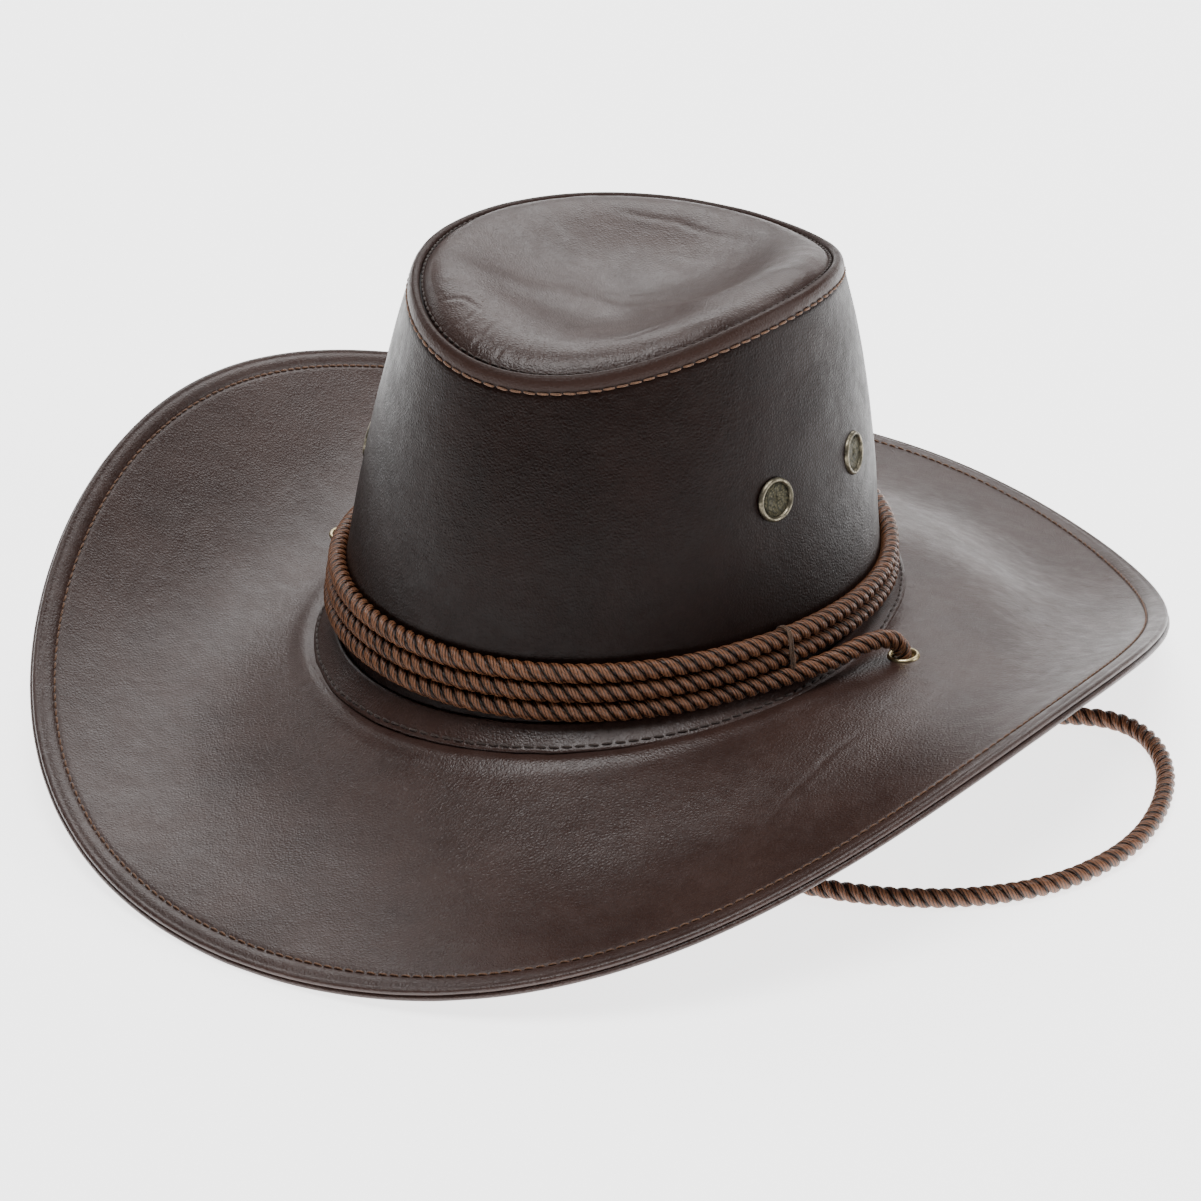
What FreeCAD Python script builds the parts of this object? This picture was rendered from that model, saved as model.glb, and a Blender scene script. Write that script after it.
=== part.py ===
import FreeCAD, Part
import Sketcher
import math
import os

# Wide-brimmed riding hat in leathercloth, with a cord band and a chin cord.
# Millimetres, +Z up, front of the hat towards -Y. The origin is the middle of
# the hat's footprint, on the surface that its brim rests on.
# Round the head, an angle of 0 is the front, +90 the wearer's left (+X) and 180 the back.

Vector = FreeCAD.Vector
STATIONS = 48          # points round the head for each ring of a skin
CORD_STATIONS = 15     # route points for each turn of the cord round the crown

SIZES = (
    # foot of the crown: an oval that leans up a little towards +X
    ("crown_centre_x", -0.2, "middle of the crown's foot"),
    ("crown_centre_y", 0.95, "middle of the crown's foot"),
    ("foot_half_width", 83.5, "half across the outside of the crown's foot"),
    ("foot_half_length", 97.6, "half front to back of the crown's foot"),
    ("foot_height", 29.35, "mean height of the crown's foot"),
    ("foot_lean", 7.1, "how far the foot rises at +X and falls at -X"),
    ("wall_bulge", 3.5, "how far the crown wall swells at half height"),
    # rim at the top of the crown wall
    ("rim_centre_x", 1.2, "middle of the top rim"),
    ("rim_centre_y", 2.67, "middle of the top rim"),
    ("rim_half_width", 61.9, "half across the top rim"),
    ("rim_half_length", 78.3, "half front to back of the top rim"),
    ("rim_height", 147.65, "mean height of the top rim"),
    ("rim_side_lift", 4.66, "rise of the rim at the two sides"),
    ("rim_front_lift", 2.72, "rise of the rim at the front"),
    ("rim_twist", 1.69, "second harmonic of the rim's hand-made unevenness"),
    ("rim_ripple", 1.68, "third harmonic of the rim's unevenness"),
    # outer edge of the brim, at half its thickness
    ("edge_centre_x", -0.2, "middle of the brim's outline"),
    ("edge_centre_y", 0.82, "middle of the brim's outline"),
    ("edge_half_width", 171.4, "half across the brim"),
    ("edge_half_length", 204.2, "half front to back of the brim"),
    ("edge_height", 25.1, "mean height of the brim's edge"),
    ("edge_side_lift", 26.8, "how far the sides curl up"),
    ("edge_front_lift", 2.84, "front edge against back edge"),
    ("edge_third_harmonic", 3.44, "flattening of the front dip"),
    ("edge_fourth_harmonic", 4.64, "flattening of both dips"),
    ("edge_lean", 4.85, "the -X side curls up higher than the +X side by twice this"),
    # plies, measured inwards or down from the leathercloth's face
    ("leather", 1.0, "leathercloth"),
    ("ply_gap", 0.1, "gap between neighbouring plies"),
    ("stiffener", 0.8, "stiffening ply of the crown and the brim"),
    ("lining", 0.6, "lining cloth"),
    ("tip_padding", 2.0, "foam under the tip"),
    ("edge_spread", 0.6, "how far each brim ply swells over the edge wire"),
    ("edge_spread_at_wire", 0.5, "the part of that swelling reached over the wire's centre"),
    ("wire_radius", 0.7, "spring wire in the brim's edge"),
    ("wire_inset", 2.6, "wire centre to the brim's outline"),
    ("ferrule_length", 14.0, "sleeve that joins the wire's two ends"),
    ("ferrule_play", 0.1, "gap between the wire and its sleeve"),
    ("ferrule_wall", 0.15, "wall of that sleeve"),
    # trim
    ("sweatband_height", 34.0, "sweatband, up the inside of the crown"),
    ("sweatband", 1.4, "sweatband thickness"),
    ("strip_reach", 7.9, "outer edge of the base strip beyond the crown's foot"),
    ("strip_rise", 6.0, "inner edge of the base strip above the foot"),
    ("strip", 1.1, "base strip thickness"),
    ("thread_radius", 0.5, "topstitching thread"),
    ("rim_stitch_drop", 5.5, "topstitching below the top rim"),
    ("edge_stitch_inset", 7.0, "topstitching inside the brim's outline"),
    # metal fittings
    ("vent_flange_radius", 7.0, "vent eyelet, outside"),
    ("vent_flange_height", 1.7, "vent eyelet, crown of its rolled rim"),
    ("vent_bore_radius", 5.1, "vent eyelet, clear hole"),
    ("vent_barrel_radius", 5.6, "vent eyelet, outside of its barrel"),
    ("vent_washer_radius", 7.0, "vent washer, outside"),
    ("vent_barrel_length", 3.9, "vent eyelet, barrel through the crown's plies"),
    ("screen_thickness", 0.5, "gauze disc behind the vent"),
    ("cord_flange_radius", 5.2, "cord eyelet, outside"),
    ("cord_flange_height", 1.1, "cord eyelet, crown of its rolled rim"),
    ("cord_bore_radius", 3.4, "cord eyelet, clear hole"),
    ("cord_barrel_radius", 3.8, "cord eyelet, outside of its barrel"),
    ("cord_barrel_length", 4.1, "cord eyelet, barrel through the brim's plies"),
    ("cord_washer_radius", 5.2, "washer under the cord eyelet"),
    ("washer_thickness", 0.6, "both sizes of washer"),
    ("hole_clearance", 0.2, "hole in the plies round a barrel"),
    # cord
    ("cord_radius", 3.0, "twisted cord"),
    ("band_height", 42.85, "height of the lowest turn of the cord"),
    ("band_pitch", 6.25, "height from one turn of the cord to the next"),
    ("band_dip", 5.0, "how far the turns sag at the wearer's right"),
    ("band_clearance", 0.2, "cord surface to the crown wall"),
    ("tack_thread", 0.6, "thickness of the tacks that hold the cord"),
)

# angle round the head, and fraction up the crown wall or out along the brim
VENT_PLACES = ((75.1, 0.555), (102.2, 0.546), (-65.0, 0.50), (-92.0, 0.50))
WALL_BELOW = 0.05              # share of its height that the crown wall passes down inside the brim
STIFFENER_REACH = 0.965        # across the brim, so that the stiffener ends short of the edge wire
CORD_EYELETS = {"left": (95.4, 0.273), "right": (-87.8, 0.332)}

doc = FreeCAD.newDocument("riding_hat")
sheet = doc.addObject("Spreadsheet::Sheet", "Sizes")
for row, (alias, value, note) in enumerate(SIZES, start=1):
    sheet.set("A%d" % row, alias)
    sheet.set("B%d" % row, str(value))
    sheet.set("C%d" % row, note)
    sheet.setAlias("B%d" % row, alias)
doc.recompute()


def size(alias):
    return float(sheet.get(alias))


# ---------------------------------------------------------------- outlines

def foot_point(angle, reach=0.0, rise=0.0):
    """Foot of the crown, or a point reach mm outside it and rise mm above it."""
    x = size("crown_centre_x") + (size("foot_half_width") + reach) * math.sin(angle)
    y = size("crown_centre_y") - (size("foot_half_length") + reach) * math.cos(angle)
    z = (size("foot_height") + 0.72 * math.cos(2 * angle) - 0.62 * math.cos(angle)
         + size("foot_lean") * math.sin(angle))
    return Vector(x, y, z + rise)


def rim_point(angle):
    """Crest of the rim at the top of the crown wall."""
    swell = 1 + 0.013 * math.cos(3 * angle) + 0.012 * math.cos(4 * angle)
    x = size("rim_centre_x") + size("rim_half_width") * math.sin(angle) * swell
    y = size("rim_centre_y") - size("rim_half_length") * math.cos(angle) * swell
    z = (size("rim_height") - size("rim_side_lift") * math.cos(2 * angle)
         + size("rim_front_lift") * math.cos(angle) + 0.92 * math.sin(angle)
         - size("rim_twist") * math.sin(2 * angle) - size("rim_ripple") * math.sin(3 * angle))
    return Vector(x, y, z)


def edge_point(angle):
    """Outer edge of the brim, half-way through its thickness."""
    swell = 1 + 0.004 * math.cos(3 * angle) - 0.006 * math.cos(4 * angle) + 0.004 * math.sin(angle)
    x = size("edge_centre_x") + size("edge_half_width") * math.sin(angle) * swell
    y = size("edge_centre_y") - size("edge_half_length") * math.cos(angle) * swell
    z = (size("edge_height") - size("edge_side_lift") * math.cos(2 * angle)
         + size("edge_front_lift") * math.cos(angle)
         - size("edge_third_harmonic") * math.cos(3 * angle)
         + size("edge_fourth_harmonic") * math.cos(4 * angle)
         - size("edge_lean") * math.sin(angle) + 0.98 * math.sin(2 * angle))
    return Vector(x, y, z)


def wall_rows():
    """Control rings of the crown wall's outer face, from below the brim up to the rim."""
    def below(angle):
        return foot_point(angle) + (foot_point(angle) - rim_point(angle)) * WALL_BELOW

    def waist(angle):
        outwards = Vector(math.sin(angle), -math.cos(angle), 0)
        return (below(angle) + rim_point(angle)) / 2 + outwards * (2 * size("wall_bulge"))
    return [below, waist, rim_point]


def wall_fraction(angle, height):
    """How far up the crown wall a height lies."""
    low = foot_point(angle).z
    high = rim_point(angle).z
    return ((height - low) / (high - low) + WALL_BELOW) / (1 + WALL_BELOW)


def brim_rows():
    """Control rings of the brim's upper face, from the crown out to the edge."""
    half_edge = size("leather") + size("ply_gap") + size("stiffener") / 2 + size("edge_spread")

    def row(place):
        def point(angle):
            inner = foot_point(angle, 7.7)
            outer = edge_point(angle) + Vector(0, 0, half_edge)
            width = math.hypot(outer.x - inner.x, outer.y - inner.y)
            slope_in = -0.225 - 0.275 * math.cos(2 * angle) + 0.15 * math.sin(angle)
            slope_out = 0.29 - 0.41 * math.cos(2 * angle) - 0.2 * math.sin(angle)
            if place == "crown":
                return foot_point(angle, 0.7, 1.2)
            if place == "shoulder":
                return foot_point(angle, 13.3, slope_in * 5.6)
            if place == "edge":
                return outer
            third = inner + (outer - inner) * place
            if place < 0.5:
                third.z = inner.z + slope_in * width * place
            else:
                third.z = outer.z - slope_out * width * (1 - place)
            return third
        return point
    return [row(place) for place in ("crown", "shoulder", 1 / 3, 2 / 3, "edge")]


def tip_rows():
    """Control rings of the tip's upper face, from the seam inside the rim to the middle."""
    middle = Vector(size("rim_centre_x"), size("rim_centre_y"), size("rim_height"))

    def row(inwards, rise):
        def point(angle):
            rim = rim_point(angle)
            return rim + (middle - rim) * inwards + Vector(0, 0, rise)
        return point
    profile = ((0.045, -2.6), (0.08, 1.6), (0.22, 3.2), (0.45, -3.0), (0.75, -7.5), (1.0, -8.5))
    return [row(inwards, rise) for inwards, rise in profile]


# ---------------------------------------------------------------- skins and plies

def station_angles():
    return [2 * math.pi * i / STATIONS for i in range(STATIONS)]


def through_points(points):
    """Poles of the closed uniform cubic that passes through the points."""
    poles = list(points)
    for _ in range(40):
        poles = [poles[i] + (points[i] - (poles[i - 1] + poles[i] * 4 + poles[(i + 1) % len(poles)]) / 6)
                 for i in range(len(poles))]
    return poles


def ring_surface(rings, degree):
    """Surface that is closed round the head, with the rings as its control rows."""
    return pole_surface([through_points(ring) for ring in rings], degree)


def pole_surface(rows, degree, across_knots=None):
    """Cubic surface round the head from rows of poles."""
    grid = [list(column) for column in zip(*rows)]
    if across_knots is None:
        across_knots = [float(k) for k in range(len(rows) - degree + 1)]
    across_mults = [degree + 1] + [1] * (len(across_knots) - 2) + [degree + 1]
    round_knots = [float(k) for k in range(STATIONS + 1)]
    surface = Part.BSplineSurface()
    surface.buildFromPolesMultsKnots(grid, [1] * len(round_knots), across_mults, round_knots,
                                     across_knots, True, False, 3, degree)
    return surface


def ring_normals(rows):
    """Outward unit vectors at each point of each row, from the rows on either side."""
    step = 0.001
    normals = []
    for index, row in enumerate(rows):
        before = rows[max(index - 1, 0)]
        after = rows[min(index + 1, len(rows) - 1)]
        ring = []
        for angle in station_angles():
            along = row(angle + step) - row(angle - step)
            if along.Length < 1e-9:
                ring.append(Vector(0, 0, 1))
            else:
                ring.append(along.cross(after(angle) - before(angle)).normalize())
        normals.append(ring)
    return normals


class Skin:
    """Face of a shell, given by its control rings, with the unit vectors that leave it."""

    def __init__(self, rows, degree, outwards=1):
        self.rings = [[row(angle) for angle in station_angles()] for row in rows]
        self.normals = [[n * outwards for n in ring] for ring in ring_normals(rows)]
        self.degree = degree
        self.surface = ring_surface(self.rings, degree)

    def offset(self, distances):
        return [[point + normal * distance for point, normal in zip(ring, normals)]
                for ring, normals, distance in zip(self.rings, self.normals, distances)]

    def ply(self, upper, lower, until=1.0):
        """Solid between two offsets, each one distance or one for each ring.

        It reaches across the skin as far as the fraction until.
        """
        count = len(self.rings)
        uppers = upper if isinstance(upper, (list, tuple)) else [upper] * count
        lowers = lower if isinstance(lower, (list, tuple)) else [lower] * count
        faces = [ring_surface(self.offset(distances), self.degree) for distances in (uppers, lowers)]
        if until < 1.0:
            faces = [self.cut_short(face, until) for face in faces]
        top, bottom = [face.getPoles() for face in faces]
        first = [[column[0] for column in grid] for grid in (top, bottom)]
        last = [[column[-1] for column in grid] for grid in (top, bottom)]
        surfaces = faces + [pole_surface(first, 1)]
        if (last[0][0] - last[0][STATIONS // 2]).Length > 1:
            surfaces.append(pole_surface(last, 1))
        return outward_solid(surfaces)

    def cut_short(self, face, until):
        """The part of the face up to the fraction, with the same shape."""
        knot = until * (len(self.rings) - self.degree)
        face.insertVKnot(knot, self.degree, 1e-9)
        knots_kept = [k for k in face.getVKnots() if k < knot - 1e-6]
        kept = self.degree + len(knots_kept)
        rows = [[column[j] for column in face.getPoles()] for j in range(kept)]
        return pole_surface(rows, self.degree, knots_kept + [knot])

    def place(self, angle, fraction):
        """Point and normal at a fraction across the skin."""
        station = angle / (2 * math.pi) * STATIONS
        u = (station - 1) % STATIONS          # the closed surface starts at its second ring point
        v = fraction * (len(self.rings) - self.degree)
        normal = self.surface.normal(u, v)
        reference = self.normals[0][int(station) % STATIONS]
        if normal.dot(reference) < 0:
            normal = normal * -1
        return self.surface.value(u, v), normal

    def place_from_edge(self, angle, distance, from_last=True):
        """Point and normal a distance in from the last ring, or from the first."""
        end = 1.0 if from_last else 0.0
        start, _ = self.place(angle, end)
        low, high = 0.0, 1.0
        for _ in range(30):
            middle = (low + high) / 2
            fraction = 1 - middle if from_last else middle
            point, _ = self.place(angle, fraction)
            if (point - start).Length < distance:
                low = middle
            else:
                high = middle
        return self.place(angle, 1 - low if from_last else low)


def outward_solid(surfaces):
    shell = Part.Shell([Part.Face(surface) for surface in surfaces])
    if Part.Solid(shell).Volume < 0:
        shell.reverse()
    return Part.Solid(shell)


def ring_tube(centres, radius, sides=10):
    """Closed tube round the head through the centres, with a many-sided section."""
    corners = []
    for j in range(sides):
        turn = 2 * math.pi * j / sides
        ring = []
        for i, centre in enumerate(centres):
            ahead = centres[(i + 1) % len(centres)] - centres[i - 1]
            side = ahead.cross(Vector(0, 0, 1)).normalize()
            up = side.cross(ahead).normalize()
            ring.append(centre + side * (radius * math.cos(turn)) + up * (radius * math.sin(turn)))
        corners.append(through_points(ring))
    surfaces = []
    for j in range(sides):
        grid = [list(pair) for pair in zip(corners[j], corners[(j + 1) % sides])]
        surface = Part.BSplineSurface()
        surface.buildFromPolesMultsKnots(grid, [1] * (STATIONS + 1), [2, 2],
                                         [float(k) for k in range(STATIONS + 1)], [0.0, 1.0],
                                         True, False, 3, 1)
        surfaces.append(surface)
    return outward_solid(surfaces)


def frame_at(point, normal):
    """Placement whose +Z is the normal."""
    return FreeCAD.Placement(point, FreeCAD.Rotation(Vector(0, 0, 1), normal))


def drilled(shape, holes):
    """Shape with a round hole through it at each (point, normal, radius)."""
    for point, normal, radius in holes:
        drill = Part.makeCylinder(radius, 16, point - normal * 10, normal)
        shape = shape.cut(drill)
    return shape.Solids[0] if len(shape.Solids) == 1 else shape


# ---------------------------------------------------------------- nodes

nodes = []


def feature(name, shape):
    node = doc.addObject("Part::Feature", name)
    node.Label = name
    node.Shape = shape
    node.Placement = FreeCAD.Placement()
    nodes.append(node)
    return node


def total(*terms):
    """Sum of numbers, sizes and (factor, size) pairs: its value, and the expression bound to it."""
    value = 0.0
    words = []
    for term in terms:
        if isinstance(term, (int, float)):
            value += term
            words.append("%.3f" % term)
        else:
            factor, alias = term if isinstance(term, tuple) else (1, term)
            value += factor * size(alias)
            words.append("%.2f * Sizes.%s" % (factor, alias))
    return value, " + ".join(words)


def outline(sketch, corners):
    """Closed outline in a sketch, from corners given as pairs of totals."""
    values = [Vector(across[0], up[0], 0) for across, up in corners]
    count = len(values)
    for i in range(count):
        sketch.addGeometry(Part.LineSegment(values[i], values[(i + 1) % count]), False)
    for i in range(count):
        sketch.addConstraint(Sketcher.Constraint("Coincident", i, 2, (i + 1) % count, 1))
    for i, corner in enumerate(corners):
        for kind, (value, expression) in zip(("DistanceX", "DistanceY"), corner):
            constraint = sketch.addConstraint(Sketcher.Constraint(kind, -1, 1, i, 1, value))
            if "Sizes" in expression:
                sketch.setExpression("Constraints[%d]" % constraint, expression)


def ring_section(inner, outer, bottom, top):
    """Corners of a rectangle between two radii and two heights."""
    return [(inner, bottom), (outer, bottom), (outer, top), (inner, top)]


def revolved_body(name, section, placement):
    """PartDesign body turned about Z from corners of (radius, height) totals."""
    body = doc.addObject("PartDesign::Body", name)
    body.Label = name
    plane = [f for f in body.Origin.OriginFeatures if f.Role == "XZ_Plane"][0]
    sketch = body.newObject("Sketcher::SketchObject", name + "_section")
    sketch.AttachmentSupport = [(plane, "")]
    sketch.MapMode = "FlatFace"
    outline(sketch, section)
    turned = body.newObject("PartDesign::Revolution", name + "_turned")
    turned.Profile = sketch
    turned.ReferenceAxis = (sketch, ["V_Axis"])
    turned.Angle = 360
    sketch.Visibility = False
    body.Placement = placement
    return body


def group(name, body, placements):
    """Node of identical fittings: one body, linked at each place."""
    links = []
    for index, placement in enumerate(placements):
        link = doc.addObject("App::Link", "%s_%d" % (name, index + 1))
        link.LinkedObject = body
        link.LinkTransform = False
        link.Placement = placement
        links.append(link)
    node = doc.addObject("Part::Compound", name)
    node.Label = name
    node.Links = links
    nodes.append(node)
    return node


# ---- places that several pieces share

wall = Skin(wall_rows(), 2)
brim = Skin(brim_rows(), 3, outwards=-1)
tip = Skin(tip_rows(), 3)

vents = [wall.place(math.radians(angle), fraction) for angle, fraction in VENT_PLACES]
cord_holes = {side: brim.place(math.radians(angle), fraction)
              for side, (angle, fraction) in CORD_EYELETS.items()}

leather = size("leather")
gap = size("ply_gap")
stiff_top = leather + gap
stiff_bottom = stiff_top + size("stiffener")
lining_top = stiff_bottom + gap
lining_bottom = lining_top + size("lining")
brim_under_top = stiff_bottom + gap
brim_under_bottom = brim_under_top + leather

vent_drill = [(point, normal, size("vent_barrel_radius") + size("hole_clearance"))
              for point, normal in vents]
cord_drill = [(point, normal, size("cord_barrel_radius") + size("hole_clearance"))
              for point, normal in cord_holes.values()]


def build_crown_wall():
    """Outer wall, its stiffener and its lining, each a tapering tube."""
    feature("crown_side", drilled(wall.ply(0, -leather), vent_drill))
    feature("crown_side_stiffener", drilled(wall.ply(-stiff_top, -stiff_bottom, 0.985), vent_drill))
    feature("crown_side_lining", drilled(wall.ply(-lining_top, -lining_bottom, 0.94), vent_drill))


def build_tip():
    """Tip set in inside the rim, foam under it, and its lining."""
    feature("crown_tip", tip.ply(0, -leather))
    foam_bottom = stiff_top + size("tip_padding")
    feature("crown_tip_padding", tip.ply(-stiff_top, -foam_bottom))
    feature("crown_tip_lining", tip.ply(-foam_bottom - gap, -foam_bottom - gap - size("lining")))


def build_brim():
    """Upper and lower leathercloth, the stiffener between, and the wire in the edge."""
    swell = 2 * size("edge_spread")
    lower_top = [-brim_under_top] * 4 + [-brim_under_top - swell]
    lower_bottom = [-brim_under_bottom] * 4 + [-brim_under_bottom - swell]
    feature("brim_top", drilled(brim.ply(0, -leather), cord_drill))
    feature("brim_bottom", drilled(brim.ply(lower_top, lower_bottom), cord_drill))
    feature("brim_stiffener", drilled(brim.ply(-stiff_top, -stiff_bottom, STIFFENER_REACH), cord_drill))


def wire_centres():
    depth = (leather + brim_under_top) / 2 + size("edge_spread_at_wire")
    centres = []
    for angle in station_angles():
        point, normal = brim.place_from_edge(angle, size("wire_inset"))
        centres.append(point - normal * depth)
    return centres


def build_edge_wire():
    centres = wire_centres()
    feature("brim_edge_wire", ring_tube(centres, size("wire_radius")))
    back = STATIONS // 2
    along = (centres[back + 1] - centres[back - 1]).normalize()
    placement = frame_at(centres[back] - along * (size("ferrule_length") / 2), along)
    bore = total("wire_radius", "ferrule_play")
    outer = total("wire_radius", "ferrule_play", "ferrule_wall")
    section = ring_section(bore, outer, total(0), total("ferrule_length"))
    nodes.append(revolved_body("brim_wire_ferrule", section, placement))


def build_base_strip():
    """Leathercloth strip that covers the joint of crown and brim on the outside."""
    lift = 0.25

    def outer_edge(angle):
        point, normal = brim.place_from_edge(angle, size("strip_reach") - 0.7, from_last=False)
        return point + normal * lift

    def inner_edge(angle):
        rise = size("strip_rise") - 1.5 * math.sin(angle)
        point, normal = wall.place(angle, wall_fraction(angle, foot_point(angle).z + rise))
        return point + normal * (lift + 0.2)

    def middle(angle):
        return (outer_edge(angle) + inner_edge(angle)) / 2
    strip = Skin([outer_edge, middle, inner_edge], 2)
    thick = size("strip")
    feature("base_strip", strip.ply(thick, 0))
    radius = size("thread_radius")
    centres = []
    for angle in station_angles():
        point, normal = strip.place_from_edge(angle, 1.6, from_last=False)
        centres.append(point + normal * (thick + radius + 0.1))
    feature("base_strip_stitching", ring_tube(centres, radius))


def build_sweatband():
    """Band inside the foot of the crown."""
    outer = lining_bottom + gap
    thick = size("sweatband")
    reach = wall_fraction(0, foot_point(0).z + size("sweatband_height"))
    feature("sweatband", wall.ply(-outer, -outer - thick, reach))
    radius = size("thread_radius")
    centres = []
    for angle in station_angles():
        point, normal = wall.place_from_edge(angle, 3.0, from_last=False)
        centres.append(point - normal * (outer + thick + radius + 0.1))
    feature("sweatband_stitching", ring_tube(centres, radius))


def build_topstitching():
    radius = size("thread_radius")
    below_rim = []
    in_groove = []
    inside_edge = []
    for angle in station_angles():
        point, normal = wall.place_from_edge(angle, size("rim_stitch_drop"))
        below_rim.append(point + normal * (radius + 0.1))
        point, normal = tip.place_from_edge(angle, 1.2, from_last=False)
        in_groove.append(point + normal * (radius + 0.1))
        point, normal = brim.place_from_edge(angle, size("edge_stitch_inset"))
        inside_edge.append(point + normal * (radius + 0.1))
    feature("crown_top_stitching", ring_tube(below_rim, radius))
    feature("tip_seam_stitching", ring_tube(in_groove, radius))
    feature("brim_edge_stitching", ring_tube(inside_edge, radius))


def eyelet_section(kind, under_flange):
    """Section of a rolled eyelet: flange on the face, barrel down through the plies."""
    flange = kind + "_flange_radius"
    height = kind + "_flange_height"
    bore = kind + "_bore_radius"
    barrel = kind + "_barrel_radius"
    end = total((-1, kind + "_barrel_length"))
    return [(total(bore), end), (total(barrel), end), (total(barrel), total(under_flange)),
            (total(flange), total(under_flange)), (total(flange), total(under_flange, 0.3)),
            (total(flange, -0.8), total(height)), (total(bore, 0.9), total(height)),
            (total(bore), total(height, -0.7))]


def washer_section(kind, depth):
    """Section of a flat washer round a barrel, its upper face this deep."""
    return ring_section(total(kind + "_barrel_radius", 0.1), total(kind + "_washer_radius"),
                        total(-depth, (-1, "washer_thickness")), total(-depth))


def build_fittings():
    """Vent eyelets with gauze and washers, and the two eyelets that the cord passes through."""
    vent_places = [frame_at(point, normal) for point, normal in vents]
    at_origin = FreeCAD.Placement()
    rim = revolved_body("vent_eyelet_pattern", eyelet_section("vent", 0.25), at_origin)
    group("vent_eyelets", rim, vent_places)
    gauze_section = ring_section(total(0), total("vent_bore_radius", -0.1),
                                 total(0.2), total(0.2, "screen_thickness"))
    gauze = revolved_body("vent_gauze_pattern", gauze_section, at_origin)
    group("vent_screens", gauze, vent_places)
    washer = revolved_body("vent_washer_pattern", washer_section("vent", lining_bottom + 0.2), at_origin)
    group("vent_washers", washer, vent_places)
    for side, (point, normal) in cord_holes.items():
        placement = frame_at(point, normal)
        nodes.append(revolved_body("cord_eyelet_" + side, eyelet_section("cord", 0.15), placement))
        section = washer_section("cord", brim_under_bottom + 0.1)
        nodes.append(revolved_body("eyelet_washer_" + side, section, placement))


# ---- cords: straight runs joined by arcs that touch them

# the chin cord's way from under the left eyelet, over the table, to under the right one
CHIN_ROUTE = [
    Vector(104, 13, 26), Vector(105, 19, 13), Vector(108, 31, 5), Vector(117, 48, 3.1),
    Vector(133, 64, 3.1), Vector(154, 74, 3.1), Vector(174.5, 60, 3.1), Vector(187, 33, 3.1),
    Vector(190, 3, 3.1), Vector(181, -27, 3.1), Vector(162, -50, 3.1), Vector(137, -66, 3.1),
    Vector(105, -75, 3.1), Vector(70, -73, 3.1), Vector(35, -62, 3.1), Vector(0, -57, 3.1),
    Vector(-35, -56, 3.1), Vector(-68, -46, 3.1), Vector(-92, -28, 3.1), Vector(-104, -10, 5),
    Vector(-107.5, -4.5, 11)]


def cord_path(points):
    """Wire of runs and arcs, its length, and the arcs' radii."""
    edges = []
    radii = []
    start = points[0]
    for before, corner, after in zip(points, points[1:], points[2:]):
        back = before - corner
        ahead = after - corner
        half_turn = (math.pi - back.getAngle(ahead)) / 2
        cut = 0.45 * min(back.Length, ahead.Length)
        radius = cut / math.tan(half_turn)
        arc_start = corner + back.normalize() * cut
        arc_end = corner + ahead.normalize() * cut
        middle = (back + ahead).normalize()
        arc_middle = corner + middle * (radius / math.cos(half_turn) - radius)
        edges.append(Part.LineSegment(start, arc_start).toShape())
        edges.append(Part.Arc(arc_start, arc_middle, arc_end).toShape())
        radii.append(radius)
        start = arc_end
    edges.append(Part.LineSegment(start, points[-1]).toShape())
    wire = Part.Wire(edges)
    return wire, sum(edge.Length for edge in edges), radii


def cord_tube(name, points):
    radius = size("cord_radius")
    wire, length, radii = cord_path(points)
    start = points[0]
    circle = Part.Circle(start, points[1] - start, radius).toShape()
    tube = wire.makePipeShell([Part.Wire([circle])], True, False)
    if tube.ShapeType != "Solid":
        tube = tube.Solids[0]
    expected = math.pi * radius ** 2 * length
    print("%s: length %.0f, volume %.4f of section x length, radii %s"
          % (name, length, tube.Volume / expected, " ".join("%.0f" % value for value in radii)))
    return tube


def band_point(degrees, level):
    """Corner of the cord's route on the crown wall; one level is one turn higher."""
    angle = math.radians(degrees)
    height = size("band_height") + size("band_pitch") * level
    height -= size("band_dip") * max(-math.sin(angle), 0.0) ** 4
    point, normal = wall.place(angle, wall_fraction(angle, height))
    corner_cut = 1.9          # an arc of the route passes this far inside its corner
    return point + normal * (size("cord_radius") + size("band_clearance") + corner_cut)


def band_points():
    """Turns of the cord from the left eyelet forwards round the crown, three times past the front."""
    step = 360.0 / CORD_STATIONS
    last = -150.0 - 720.0
    points = []
    degrees = 72.0
    while degrees > last:
        turns = (85.0 - degrees) / 360.0
        whole = math.floor(turns)
        climb = min(max((turns - whole - 0.935) / 0.055, 0.0), 1.0)
        points.append(band_point(degrees, whole + climb))
        degrees -= step
    points.append(band_point(last, 2))
    return points


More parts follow.
